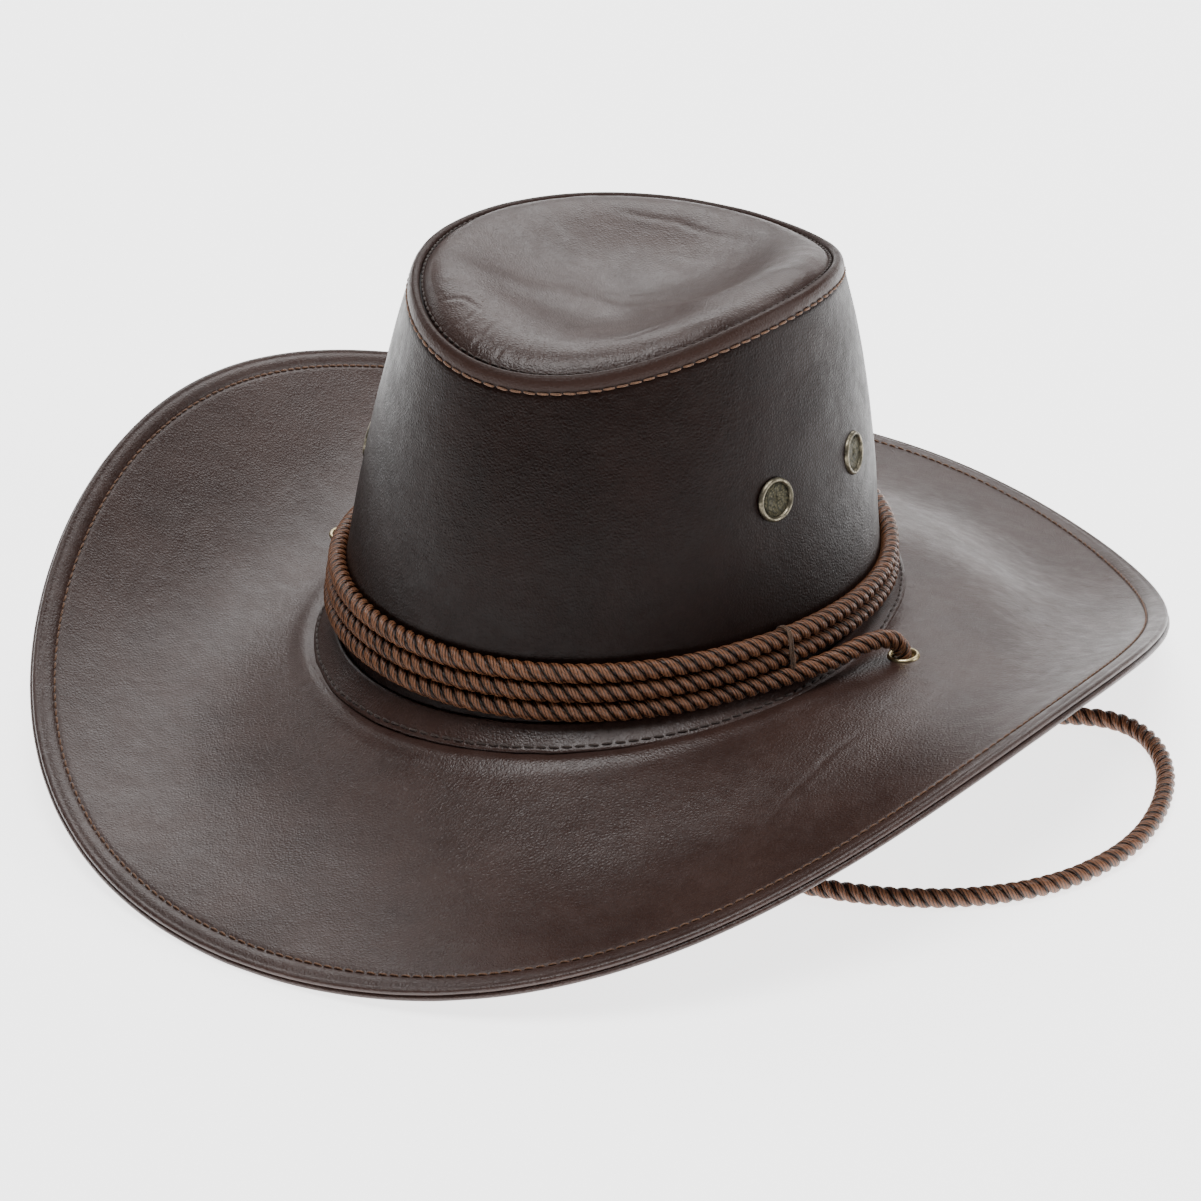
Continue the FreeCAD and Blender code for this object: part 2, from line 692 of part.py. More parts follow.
def tack(name, degrees, low_level, high_level, length):
    """PartDesign body of a sewn tack: thread over the cords and into the crown wall at both ends."""
    angle = math.radians(degrees)
    middle_level = (low_level + high_level) / 2
    height = size("band_height") + size("band_pitch") * middle_level
    point, normal = wall.place(angle, wall_fraction(angle, height))
    ahead, _ = wall.place(angle + 0.01, wall_fraction(angle, height))
    along = (ahead - point).normalize()
    up = normal.cross(along).normalize()
    body = doc.addObject("PartDesign::Body", name)
    body.Label = name
    plane = [f for f in body.Origin.OriginFeatures if f.Role == "XY_Plane"][0]
    sketch = body.newObject("Sketcher::SketchObject", name + "_section")
    sketch.AttachmentSupport = [(plane, "")]
    sketch.MapMode = "FlatFace"
    half = (high_level - low_level) / 2
    foot = total(0.2)
    proud = [(2, "cord_radius"), "band_clearance", 0.3]
    above = [(half, "band_pitch"), "cord_radius", 0.3]
    below = [(-half, "band_pitch"), (-1, "cord_radius"), -0.3]
    thread = "tack_thread"
    outline(sketch, [
        (foot, total(*below, (-1, thread))), (total(*proud, thread), total(*below, (-1, thread))),
        (total(*proud, thread), total(*above, thread)), (foot, total(*above, thread)),
        (foot, total(*above)), (total(*proud), total(*above)),
        (total(*proud), total(*below)), (foot, total(*below))])
    pad = body.newObject("PartDesign::Pad", name + "_pad")
    pad.Profile = sketch
    pad.Length = length
    sketch.Visibility = False
    rotation = FreeCAD.Rotation(normal, up, along, "ZXY")
    body.Placement = FreeCAD.Placement(point - along * (length / 2), rotation)
    nodes.append(body)


def build_cords():
    radius = size("cord_radius")
    left_point, left_normal = cord_holes["left"]
    right_point, right_normal = cord_holes["right"]
    seat = brim_under_bottom
    start = left_point - left_normal * seat
    over = [start, left_point + left_normal * 5.5, Vector(98, 3, 47.5), Vector(92, -14, 45)]
    band = cord_tube("hat_cord", over + band_points())
    rise = right_point - right_normal * seat
    strand = [rise, right_point + right_normal * 6.5, Vector(-97.5, 20, 34)]
    strand += [band_point(degrees, -1) for degrees in (-116.0, -133.0, -150.0)]
    tail = cord_tube("hat_cord tail", strand)
    feature("hat_cord", Part.Compound([band, tail]))
    feature("chin_cord", cord_tube("chin_cord", [start] + CHIN_ROUTE + [rise]))
    tack("cord_tack_left", 74.0, 0, 2, 2.0)
    tack("cord_tack_back", -146.0, -1, 2, 8.0)


build_crown_wall()
build_tip()
build_brim()
build_edge_wire()
build_base_strip()
build_sweatband()
build_topstitching()
build_fittings()
build_cords()
doc.recompute()

for item in doc.Objects:
    if "Invalid" in item.State or "Error" in item.State:
        raise ValueError("%s: %s" % (item.Name, item.State))
os.makedirs("parts", exist_ok=True)
for node in nodes:
    shape = node.Shape
    if shape.isNull() or not shape.isValid():
        raise ValueError("bad shape: " + node.Label)
    shape.exportStep("parts/%s.step" % node.Label)
    box = shape.optimalBoundingBox()
    print("%-22s %8.1f mm3  x %.1f %.1f  y %.1f %.1f  z %.2f %.2f" % (
        node.Label, shape.Volume, box.XMin, box.XMax, box.YMin, box.YMax, box.ZMin, box.ZMax))
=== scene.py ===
import itertools
import math
import bmesh
import bpy
import numpy as np
from mathutils import Matrix, Vector


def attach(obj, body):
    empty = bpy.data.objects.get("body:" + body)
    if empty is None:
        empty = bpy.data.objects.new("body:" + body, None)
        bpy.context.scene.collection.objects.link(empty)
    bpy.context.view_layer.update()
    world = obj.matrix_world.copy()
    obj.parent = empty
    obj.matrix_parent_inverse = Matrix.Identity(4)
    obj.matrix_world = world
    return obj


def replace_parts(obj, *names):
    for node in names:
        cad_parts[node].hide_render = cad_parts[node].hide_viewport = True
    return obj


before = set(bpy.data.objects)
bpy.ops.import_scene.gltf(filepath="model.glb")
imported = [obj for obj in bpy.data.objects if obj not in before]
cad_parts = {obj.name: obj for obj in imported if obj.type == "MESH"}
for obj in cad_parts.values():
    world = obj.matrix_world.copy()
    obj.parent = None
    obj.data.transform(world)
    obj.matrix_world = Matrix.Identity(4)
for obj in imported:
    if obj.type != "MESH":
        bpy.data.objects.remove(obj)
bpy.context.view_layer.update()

# Leathercloth cowboy hat. The outlines below are those of the CAD model, in millimetres; meshes
# are written in metres. An angle of 0 is the front of the hat (-Y) and +90 degrees is +X.

MM = 0.001
TAU = 2 * math.pi
ROUND = 720  # mesh columns round the head

# heights, swells and slopes round the head are given as waves() takes them
FOOT_CENTRE, FOOT_HALF = (-0.2, 0.95), (83.5, 97.6)
FOOT_HEIGHT = 29.35, (-0.62, 0.72), (7.1,)
RIM_CENTRE, RIM_HALF = (1.2, 2.67), (61.9, 78.3)
RIM_HEIGHT = 147.65, (2.72, -4.66), (0.92, -1.69, -1.68)
RIM_SWELL = 1, (0, 0, 0.013, 0.012)
EDGE_CENTRE, EDGE_HALF = (-0.2, 0.82), (171.4, 204.2)
EDGE_HEIGHT = 25.1, (2.84, -26.8, -3.44, 4.64), (-4.85, 0.98)
EDGE_SWELL = 1, (0, 0, 0.004, -0.006), (0.004,)
HALF_EDGE = 2.1  # half the thickness of the brim's edge
SLOPE_IN = -0.225, (0, -0.275), (0.15,)  # slope of the brim beside the crown
SLOPE_OUT = 0.29, (0, -0.41), (-0.2,)  # slope of the brim at its edge
BRIM_START = 0.7, 1.2  # reach and rise of the brim's inner end from the foot
BRIM_BEND, BEND_LEAD = 7.7, 5.6  # reach of the bend beside the crown, and of the row after it
WALL_BELOW = 0.05  # share of its height that the crown wall passes down inside the brim
WALL_BULGE = 3.5
TIP_PROFILE = (  # share of the way from rim to middle, and rise
    (0.045, -2.6), (0.08, 1.6), (0.22, 3.2), (0.45, -3.0), (0.75, -7.5), (1.0, -8.5))
PLY = 1.0  # leathercloth
BRIM_DEPTH = 3.0  # all the plies of the brim
EDGE_THICKER = 1.2  # how much thicker the brim is at its edge
EDGE_ROLL = 1.05  # radius of each leathercloth's turned edge
LOWER_RELIEF = 0.6  # share of the upper face's relief that the lower leathercloth has
BRIM_HEM, BRIM_FINE = 12.0, 8.2  # distances from the end where the mesh rows get closer
WALL_ROLL, WALL_HEM, WALL_FINE = 1.5, 14.0, 8.0
FOLDED_END = (  # the wall's folded end inside the crown: distance below the rim, and depth
    (3.0, 3.0), (6.4, 3.0), (6.6, 2.5), (6.4, 2.0), (3.0, 2.0), (2.6, 1.5), (3.0, PLY))
VENT_HOLE, CORD_HOLE = 5.9, 4.0  # radius of the holes in the leathercloth
HOLE_SIDES, HOLE_BELOW, HOLE_ABOVE = 48, 9, 6
SWEATBAND_HEIGHT = 34.0
LINING_TOP = 0.94  # share of the wall that its lining covers
STRIP_REACH, STRIP_RISE, STRIP = 7.2, 6.0, 0.9  # the base strip; the last is its thickness
RIM_STITCH_DROP, EDGE_STITCH_INSET = 5.5, 7.0
STITCH_SINK = 0.55  # how deep each end of a stitch goes into its hole
THREAD_SIDES = 7
CORD_RADIUS = 3.0
STRAND_RADIUS = 0.52 * CORD_RADIUS
STRAND_OFFSET = CORD_RADIUS - STRAND_RADIUS + 0.1  # strand from the cord's middle
STRAND_SIDES = 14
LAY = 12.6  # length of one full twist of the cord
YARNS = 8  # plies seen round each strand
CORD_STEP = 0.75  # length between rings of the cord's mesh
BAND_HEIGHT, BAND_PITCH, BAND_DIP, BACK_SAG = 42.85, 6.25, 7.0, 4.0
BACK_SAG_AT, BACK_SAG_WIDTH = -115, 25
BAND_STAND_OFF = 4.7  # route of the cord from the crown wall
BAND_START, BAND_END = 72.0, -150.0  # where the first turn starts, and the last ends behind
COUNT_FROM = 85.0  # angle from which the turns are counted
CLIMB_START, CLIMB_LENGTH = 0.935, 0.055  # share of a turn where the cord climbs to the next
CORD_STATIONS = 15  # route points for each turn round the crown
CORD_RISE = 5.5  # the cord's first point above an eyelet
VENT_PLACES = ((75.1, 0.555), (102.2, 0.546), (-65.0, 0.50), (-92.0, 0.50))
CORD_EYELETS = {"left": (95.4, 0.273), "right": (-87.8, 0.332)}


# ---- outlines

def waves(t, mean, cosines, sines=()):
    """Value round the head: a mean, and the amounts of cos t, cos 2t ... and of sin t, sin 2t ..."""
    total = mean + 0 * t
    for turns, amount in enumerate(cosines, 1):
        total = total + amount * np.cos(turns * t)
    for turns, amount in enumerate(sines, 1):
        total = total + amount * np.sin(turns * t)
    return total


def oval(t, centre, half, swell, height):
    """Closed outline round the head."""
    return np.stack([centre[0] + half[0] * np.sin(t) * swell, centre[1] - half[1] * np.cos(t) * swell,
                     height], -1)


def radial(t):
    """Level direction away from the head."""
    return np.stack([np.sin(t), -np.cos(t), 0 * t], -1)


def foot_point(t, reach=0.0, rise=0.0):
    half = (FOOT_HALF[0] + reach, FOOT_HALF[1] + reach)
    return oval(t, FOOT_CENTRE, half, 1, waves(t, *FOOT_HEIGHT) + rise)


def rim_point(t):
    return oval(t, RIM_CENTRE, RIM_HALF, waves(t, *RIM_SWELL), waves(t, *RIM_HEIGHT))


def edge_point(t):
    return oval(t, EDGE_CENTRE, EDGE_HALF, waves(t, *EDGE_SWELL), waves(t, *EDGE_HEIGHT))


def wall_rows(t):
    foot = foot_point(t)
    rim = rim_point(t)
    below = foot + (foot - rim) * WALL_BELOW
    return [below, (below + rim) / 2 + radial(t) * (2 * WALL_BULGE), rim]


def brim_rows(t):
    inner = foot_point(t, BRIM_BEND)
    outer = edge_point(t) + np.array([0, 0, HALF_EDGE])
    width = np.linalg.norm((outer - inner)[:, :2], axis=1)
    slope_in = waves(t, *SLOPE_IN)
    slope_out = waves(t, *SLOPE_OUT)
    near = inner + (outer - inner) / 3
    near[:, 2] = inner[:, 2] + slope_in * width / 3
    far = inner + (outer - inner) * (2 / 3)
    far[:, 2] = outer[:, 2] - slope_out * width / 3
    after_bend = foot_point(t, BRIM_BEND + BEND_LEAD, slope_in * BEND_LEAD)
    return [foot_point(t, *BRIM_START), after_bend, near, far, outer]


def tip_rows(t):
    middle = np.array([*RIM_CENTRE, RIM_HEIGHT[0]])
    rim = rim_point(t)
    return [rim + (middle - rim) * inwards + np.array([0, 0, rise]) for inwards, rise in TIP_PROFILE]


def basis(count, degree, v):
    """Clamped uniform B-spline weights of each control row at v."""
    knots = np.concatenate([np.zeros(degree), np.linspace(0, 1, count - degree + 1), np.ones(degree)])
    v = np.minimum(v, 1 - 1e-9)
    weights = [((low <= v) & (v < high)).astype(float) for low, high in zip(knots, knots[1:])]
    for d in range(1, degree + 1):
        raised = []
        for i in range(len(weights) - 1):
            total = np.zeros_like(v)
            if knots[i + d] > knots[i]:
                total = total + weights[i] * (v - knots[i]) / (knots[i + d] - knots[i])
            if knots[i + d + 1] > knots[i + 1]:
                total = total + weights[i + 1] * (knots[i + d + 1] - v) / (knots[i + d + 1] - knots[i + 1])
            raised.append(total)
        weights = raised
    return np.stack(weights, -1)


class Face:
    """A surface round the head: angles t along it, fractions v across it."""

    def __init__(self, rows, degree, side=1):
        self.rows = rows
        self.degree = degree
        self.side = side

    def at(self, t, v):
        rows = np.stack(self.rows(t))
        return np.einsum("...tk,ktc->...tc", basis(len(rows), self.degree, v), rows)

    def frame(self, t, v):
        """Points, unit normals (outwards or up) and unit directions of growing v."""
        step = 1e-4
        v = np.broadcast_to(v, np.shape(v)[:-1] + t.shape) if np.ndim(v) else np.full(t.shape, v)
        inner = np.clip(v, 0, 1 - 2 * step)
        point = self.at(t, v)
        across = self.at(t, inner + step) - self.at(t, inner)
        along = self.at(t + step, inner) - self.at(t - step, inner)
        normal = self.side * np.cross(along, across)
        normal /= np.linalg.norm(normal, axis=-1, keepdims=True) + 1e-12
        across /= np.linalg.norm(across, axis=-1, keepdims=True) + 1e-12
        return point, normal, across

    def lengths(self, t):
        """Fractions, and the length of each column up to them."""
        v = np.linspace(0, 1, 201)
        points = self.at(t, np.repeat(v[:, None], len(t), 1))
        steps = np.linalg.norm(np.diff(points, axis=0), axis=-1)
        return v, np.concatenate([np.zeros((1, len(t))), np.cumsum(steps, axis=0)])

    def fraction(self, t, distance, from_last=True):
        """Fraction at a distance in from the last ring, or out from the first."""
        v, sums = self.lengths(t)
        place = sums[-1] - distance if from_last else np.full(len(t), float(distance))
        return np.array([np.interp(place[i], sums[:, i], v) for i in range(len(t))])

    def distance(self, t, v):
        """Distance in from the last ring at each fraction."""
        table, sums = self.lengths(t)
        return np.stack([sums[-1, i] - np.interp(v[:, i], table, sums[:, i]) for i in range(len(t))], 1)


wall = Face(wall_rows, 2)
brim = Face(brim_rows, 3, -1)
tip = Face(tip_rows, 3)


def wall_fraction(t, height):
    low = foot_point(t)[..., 2]
    high = rim_point(t)[..., 2]
    return ((height - low) / (high - low) + WALL_BELOW) / (1 + WALL_BELOW)


def place(face, degrees, fraction):
    """One point of a face and its normal."""
    point, normal, _ = face.frame(np.array([math.radians(degrees)]), np.array([fraction]))
    return point[0], normal[0]


# ---- relief

SEED_STEP = 17.3
HASH_AXES, HASH_SCALE = np.array([12.9898, 78.233, 37.719]), 43758.5453


def noise(points, scale, seed):
    """Smooth lattice noise from -1 to 1, the same each run."""
    q = points / scale + seed * SEED_STEP
    cell = np.floor(q)
    f = q - cell
    f = f * f * (3 - 2 * f)
    total = 0
    for corner in itertools.product((0, 1), repeat=3):
        hashed = np.sin((cell + corner) @ HASH_AXES) * HASH_SCALE
        weight = np.prod(np.where(corner, f, 1 - f), axis=-1)
        total = total + (2 * (hashed - np.floor(hashed)) - 1) * weight
    return total


def unevenness(points, layers):
    """Sum of noise layers, each as amount, scale and seed."""
    return sum(amount * noise(points, scale, seed) for amount, scale, seed in layers)


def bells(x, terms):
    """Sum of smooth bumps, each as height, middle and width."""
    return sum(height * np.exp(-((x - middle) / width) ** 2) for height, middle, width in terms)


def along_line(points, line):
    """Distance in plan from a polyline, and how far along it the nearest place is, 0 to 1."""
    line = np.array(line, float)
    best = np.full(points.shape[:-1], 1e9)
    share = np.zeros(points.shape[:-1])
    for i, (a, b) in enumerate(zip(line, line[1:])):
        d = b - a
        k = np.clip(((points[..., :2] - a) @ d) / (d @ d), 0, 1)
        away = np.linalg.norm(points[..., :2] - (a + k[..., None] * d), axis=-1)
        share = np.where(away < best, (i + k) / (len(line) - 1), share)
        best = np.minimum(best, away)
    return best, share


def crease(points, line, depth, width):
    """A fold line that fades at both ends: a groove beside a low ridge."""
    away, share = along_line(points, line)
    fade = np.sin(math.pi * np.clip(share, 0.02, 0.98)) ** 0.5
    return depth * fade * bells(away, ((0.6, 0, 2.5 * width), (-1, 0, width)))


# fold lines: corners as x and y, then depth and width
BRIM_CREASES = (
    (((118, -34), (115, -48), (115, -62), (114, -78), (117, -98)), 0.34, 1.2),
    (((-127, -66), (-136, -52), (-139, -40)), 0.22, 1.4),
    (((-118, -100), (-128, -88), (-131, -74)), 0.25, 1.2),
    (((-104, -122), (-96, -112), (-92, -104)), 0.2, 1.0),
    (((138, 20), (133, 44), (124, 62)), 0.3, 1.6),
    (((148, 8), (146, 32), (138, 54)), 0.25, 1.4),
    (((60, 150), (78, 142), (92, 128)), 0.3, 1.4),
    (((-70, 150), (-90, 138), (-100, 122)), 0.3, 1.6),
)
TIP_CREASES = (
    (((-4, -60), (-3, -66), (-4, -72)), 0.55, 0.9),
    (((3, -61), (5, -67), (5, -73)), 0.45, 0.8),
    (((11, -60), (13, -66), (14, -71)), 0.3, 0.8),
    (((-24, -60), (-18, -56), (-12, -57)), 0.45, 1.1),
    (((-12, -66), (-11, -62), (-12, -57)), 0.35, 0.9),
    (((-30, 42), (-12, 52), (10, 54)), 0.4, 1.8),
    (((28, -48), (34, -40), (38, -30)), 0.25, 1.4),
)
# the ridge between the dish and the pad before it
TIP_RIDGE = (
    (-36, -40), (-26, -34), (-16, -27), (-8, -17), (1, -11), (12, -9), (25, -11), (38, -9), (46, 3),
    (50, 18), (49, 34))

# noise layers, and bumps by distance: outside the base strip, in from the brim's edge, below the rim
BRIM_NOISE = (0.55, 48, 1), (0.18, 17, 2), (0.035, 3.2, 3)
BRIM_BY_STRIP = (1.1, 4.2, 3.0), (-0.35, 0.6, 1.3)
BRIM_BY_EDGE = (-0.40, EDGE_STITCH_INSET, 0.9), (0.32, 3.9, 1.9), (-0.16, 1.9, 0.7)
WALL_NOISE = (0.7, 42, 5), (0.16, 13, 6)
WALL_GRAIN = ((0.03, 2.6, 7),)
WALL_BY_RIM = (-0.38, RIM_STITCH_DROP, 0.8), (0.28, 2.9, 1.7)
TIP_NOISE = (0.45, 21, 8), (0.12, 7, 9), (0.03, 2.4, 10)
DISH_DEPTH, PAD_RISE, RIDGE_RISE, RIDGE_WIDTH = 1.5, 2.6, 1.4, 6.5


def reach_beyond(points):
    """Rough distance in plan outside the crown's foot."""
    x = (points[..., 0] - FOOT_CENTRE[0]) / FOOT_HALF[0]
    y = (points[..., 1] - FOOT_CENTRE[1]) / FOOT_HALF[1]
    radius = np.sqrt(x * x + y * y)
    return (radius - 1) * np.hypot(points[..., 0], points[..., 1]) / radius


def brim_relief(points, inset):
    """Height over the brim's plain surface; inset is the distance from its edge."""
    calm_edge = np.clip((inset - 2) / 12, 0, 1)
    at_front = np.clip(0.25 - points[..., 1] / 130, 0.15, 1)
    height = calm_edge * unevenness(points, BRIM_NOISE) + bells(inset, BRIM_BY_EDGE)
    height += at_front * bells(reach_beyond(points) - STRIP_REACH, BRIM_BY_STRIP)
    return height + sum(crease(points, *fold) for fold in BRIM_CREASES)


def wall_relief(points, drop):
    """Height over the crown wall's plain face; drop is the distance below the rim."""
    calm_rim = np.clip((drop - 8) / 14, 0, 1)
    height = calm_rim * unevenness(points, WALL_NOISE)
    return height + unevenness(points, WALL_GRAIN) + bells(drop, WALL_BY_RIM)


def tip_relief(points):
    """Height over the tip's plain surface: the dish, the pad before it and the ridge between."""
    x = points[..., 0]
    y = points[..., 1]
    dish = np.exp(-(((x - 8) / 36) ** 2 + ((y - 20) / 40) ** 2) ** 2)
    pad = np.exp(-(((x + 10) / 30) ** 2 + ((y + 46) / 17) ** 2))
    away, share = along_line(points, TIP_RIDGE)
    ridge = np.exp(-(away / RIDGE_WIDTH) ** 2) * np.sin(math.pi * np.clip(share, 0.03, 0.97)) ** 0.6
    height = PAD_RISE * pad + RIDGE_RISE * ridge - DISH_DEPTH * dish + unevenness(points, TIP_NOISE)
    return height + sum(crease(points, *fold) for fold in TIP_CREASES)


# ---- meshes

def linked(name, data):
    """An object of some data, in the scene."""
    piece = bpy.data.objects.new(name, data)
    bpy.context.collection.objects.link(piece)
    return piece


def add_mesh(name, points, faces, material, slot):
    mesh = bpy.data.meshes.new(name)
    mesh.from_pydata((points * MM).tolist(), [], faces)
    mesh.polygons.foreach_set("use_smooth", [True] * len(mesh.polygons))
    mesh.validate()
    mesh.update()
    mesh.materials.append(material)
    piece = linked(name, mesh)
    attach(piece, "root")
    return piece


def ring_faces(count, columns, first=0, closed=True):
    """Quads between rings of points that are each closed."""
    faces = []
    for j in range(count if closed else count - 1):
        a = first + j * columns
        b = first + ((j + 1) % count) * columns
        for i in range(columns):
            k = (i + 1) % columns
            faces.append((a + i, a + k, b + k, b + i))
    return faces


def capped(count, columns):
    """Faces of a tube of rings with closed ends."""
    last = (count - 1) * columns
    ends = [tuple(reversed(range(columns))), tuple(range(last, last + columns))]
    return ring_faces(count, columns, 0, False) + ends


def joined(parts):
    """One list of points and faces from several."""
    points = []
    faces = []
    count = 0
    for some, its_faces in parts:
        points.append(some)
        faces += [tuple(k + count for k in face) for face in its_faces]
        count += len(some)
    return np.concatenate(points), faces


def circle_across(normal, sides, hint):
    """Unit circle across a normal; hint is any direction that isn't along it."""
    side = np.cross(normal, hint)
    side /= np.linalg.norm(side)
    other = np.cross(normal, side)
    turn = np.linspace(0, TAU, sides, endpoint=False)
    return np.cos(turn)[:, None] * side + np.sin(turn)[:, None] * other


def outward(piece):
    """Turns every face of a closed piece outwards."""
    shape = bmesh.new()
    shape.from_mesh(piece.data)
    bmesh.ops.recalc_face_normals(shape, faces=shape.faces)
    shape.to_mesh(piece.data)
    shape.free()
    return piece


def ring_mesh(name, rings, material, slot):
    """Closed body round the head from rings of points."""
    faces = ring_faces(len(rings), len(rings[0]))
    return outward(add_mesh(name, np.concatenate(rings), faces, material, slot))


def cut_holes(piece, holes):
    """Cuts a round hole through a piece at each (point, normal, radius)."""
    parts = []
    for point, normal, radius in holes:
        circle = radius * circle_across(normal, HOLE_SIDES, [0.3, 0.5, 0.81])
        rings = [point - normal * HOLE_BELOW + circle, point + normal * HOLE_ABOVE + circle]
        parts.append((np.concatenate(rings), capped(2, HOLE_SIDES)))
    points, faces = joined(parts)
    cutter_mesh = bpy.data.meshes.new("cutter")
    cutter_mesh.from_pydata((points * MM).tolist(), [], faces)
    cutter = outward(linked("cutter", cutter_mesh))
    cut = piece.modifiers.new("holes", "BOOLEAN")
    cut.operation = "DIFFERENCE"
    cut.solver = "EXACT"
    cut.object = cutter
    graph = bpy.context.evaluated_depsgraph_get()
    done = bpy.data.meshes.new_from_object(piece.evaluated_get(graph))
    piece.modifiers.clear()
    piece.data = done
    bpy.data.objects.remove(cutter)


def path_frames(path):
    """Two directions across the path that turn as little as they can."""
    tangent = np.gradient(path, axis=0)
    tangent /= np.linalg.norm(tangent, axis=1, keepdims=True)
    first = np.zeros_like(path)
    start = np.cross(tangent[0], [0.0, 0.0, 1.0])
    if np.linalg.norm(start) < 0.1:
        start = np.cross(tangent[0], [1.0, 0.0, 0.0])
    first[0] = start / np.linalg.norm(start)
    for i in range(1, len(path)):
        carried = first[i - 1] - tangent[i] * (first[i - 1] @ tangent[i])
        first[i] = carried / np.linalg.norm(carried)
    return first, np.cross(tangent, first)


def resample(points, step):
    """Points a step apart along a polyline."""
    sums = np.concatenate([[0], np.cumsum(np.linalg.norm(np.diff(points, axis=0), axis=1))])
    places = np.linspace(0, sums[-1], max(2, int(round(sums[-1] / step)) + 1))
    return np.stack([np.interp(places, sums, points[:, k]) for k in range(3)], 1)


def tube_parts(path, radii, sides):
    """Points and faces of a tube with closed ends; radii is one value, or one for each point."""
    first, second = path_frames(path)
    turn = np.linspace(0, TAU, sides, endpoint=False)
    radii = np.broadcast_to(radii, (len(path),))[:, None, None]
    across = np.cos(turn)[:, None] * first[:, None] + np.sin(turn)[:, None] * second[:, None]
    return (path[:, None] + radii * across).reshape(-1, 3), capped(len(path), sides)


# ---- camera

def add_camera():
    """A long lens from the front left of the hat, a little rolled."""
    azimuth, elevation, roll = (math.radians(angle) for angle in (33.88, 28.715, 1.232))
    distance = 1202 * MM
    target = Vector((-4.609, 0.95, 28.166)) * MM
    back = Vector((math.sin(azimuth) * math.cos(elevation), -math.cos(azimuth) * math.cos(elevation),
                   math.sin(elevation)))
    level = Vector((math.cos(azimuth), math.sin(azimuth), 0))
    upright = back.cross(level)
    right = level * math.cos(roll) + upright * math.sin(roll)
    up = upright * math.cos(roll) - level * math.sin(roll)
    data = bpy.data.cameras.new("camera")
    data.sensor_width = 36
    data.lens = 109.98
    camera = linked("camera", data)
    rotation = Matrix((right, up, back)).transposed().to_4x4()
    camera.matrix_world = Matrix.Translation(target + back * distance) @ rotation
    bpy.context.scene.camera = camera


add_camera()


# ---- materials

class Shader:
    """A material's node tree, with short ways to add to it."""

    def __init__(self, name, **sockets):
        self.material = bpy.data.materials.new(name)
        self.material.use_nodes = True
        self.tree = self.material.node_tree
        self.shader = self.tree.nodes["Principled BSDF"]
        for socket, value in sockets.items():
            self.set(socket.replace("_", " "), value)
        self.place = self.node("TexCoord").outputs["Object"]

    def feed(self, socket, value):
        if isinstance(value, bpy.types.NodeSocket):
            self.tree.links.new(value, socket)
        else:
            socket.default_value = value

    def node(self, kind, settings=None, **inputs):
        node = self.tree.nodes.new("ShaderNode" + kind)
        for name, value in (settings or {}).items():
            setattr(node, name, value)
        for name, value in inputs.items():
            self.feed(node.inputs[name.replace("_", " ")], value)
        return node

    def attribute(self, name):
        return self.node("Attribute", {"attribute_name": name}).outputs["Fac"]

    def noise(self, scale, detail=2.0, roughness=0.5, vector=None):
        return self.node("TexNoise", Vector=vector or self.place, Scale=scale, Detail=detail,
                         Roughness=roughness).outputs["Fac"]

    def ramp(self, factor, stops):
        node = self.node("ValToRGB", Fac=factor)
        elements = node.color_ramp.elements
        while len(elements) < len(stops):
            elements.new(0.5)
        for element, (position, colour) in zip(elements, stops):
            element.position = position
            element.color = (*colour, 1)
        return node.outputs["Color"]

    def range(self, value, low, high, to_low, to_high):
        return self.node("MapRange", Value=value, From_Min=low, From_Max=high, To_Min=to_low,
                         To_Max=to_high).outputs["Result"]

    def mixed(self, a, b, share):
        """Mean of two values; share is the weight of the second."""
        return self.maths("ADD", self.maths("MULTIPLY", a, 1 - share), self.maths("MULTIPLY", b, share))

    def maths(self, operation, a, b=0.0):
        node = self.node("Math", {"operation": operation})
        for socket, value in zip(node.inputs, (a, b)):
            self.feed(socket, value)
        return node.outputs[0]

    def bump(self, height, distance, under=None):
        node = self.node("Bump", Height=height, Distance=distance, Strength=1.0)
        if under is not None:
            self.feed(node.inputs["Normal"], under)
        return node.outputs["Normal"]

    def set(self, socket, value):
        self.feed(self.shader.inputs[socket], value)

    def finished(self, colour, rough, bump):
        """Colour by a ramp, roughness by a range and normal by a bump, each as its arguments."""
        self.set("Base Color", self.ramp(*colour))
        self.set("Roughness", self.range(*rough))
        self.set("Normal", self.bump(*bump))
        return self.material


def leathercloth(name, dark, light, rough, grain=1.0, gloss=0.45, near_rim=None):
    """Coated cloth with a pebbled grain, soft mottling and a semi-gloss finish."""
    s = Shader(name, IOR=1.5, Specular_IOR_Level=gloss)
    mottle = s.noise(38, 4, 0.6)
    fleck = s.noise(900, 2, 0.6)
    colour = s.ramp(s.mixed(mottle, fleck, 0.4), ((0.36, dark), (0.64, light)))
    # near_rim lays a plain colour over the rows near the rim; the crown wall uses it to take its painted
    # shade off the fold
    if near_rim:
        colour = s.node("MixRGB", Fac=s.attribute("near_rim"), Color1=colour,
                        Color2=(*near_rim, 1)).outputs["Color"]
    s.set("Base Color", colour)
    s.set("Roughness", s.range(s.noise(150, 5, 0.7), 0.35, 0.65, rough - 0.05, rough + 0.07))
    cells = s.node("TexVoronoi", {"feature": "DISTANCE_TO_EDGE"}, Vector=s.place,
                   Scale=880.0).outputs["Distance"]
    pebble = s.range(cells, 0.0, 0.35, 0.0, 1.0)
    fine = s.noise(2200, 3, 0.6)
    wrinkle = s.noise(260, 4, 0.55)
    normal = None
    for height, depth in ((pebble, 0.00006), (fine, 0.00005), (wrinkle, 0.00016)):
        normal = s.bump(height, depth * grain, normal)
    s.set("Normal", normal)
    return s.material


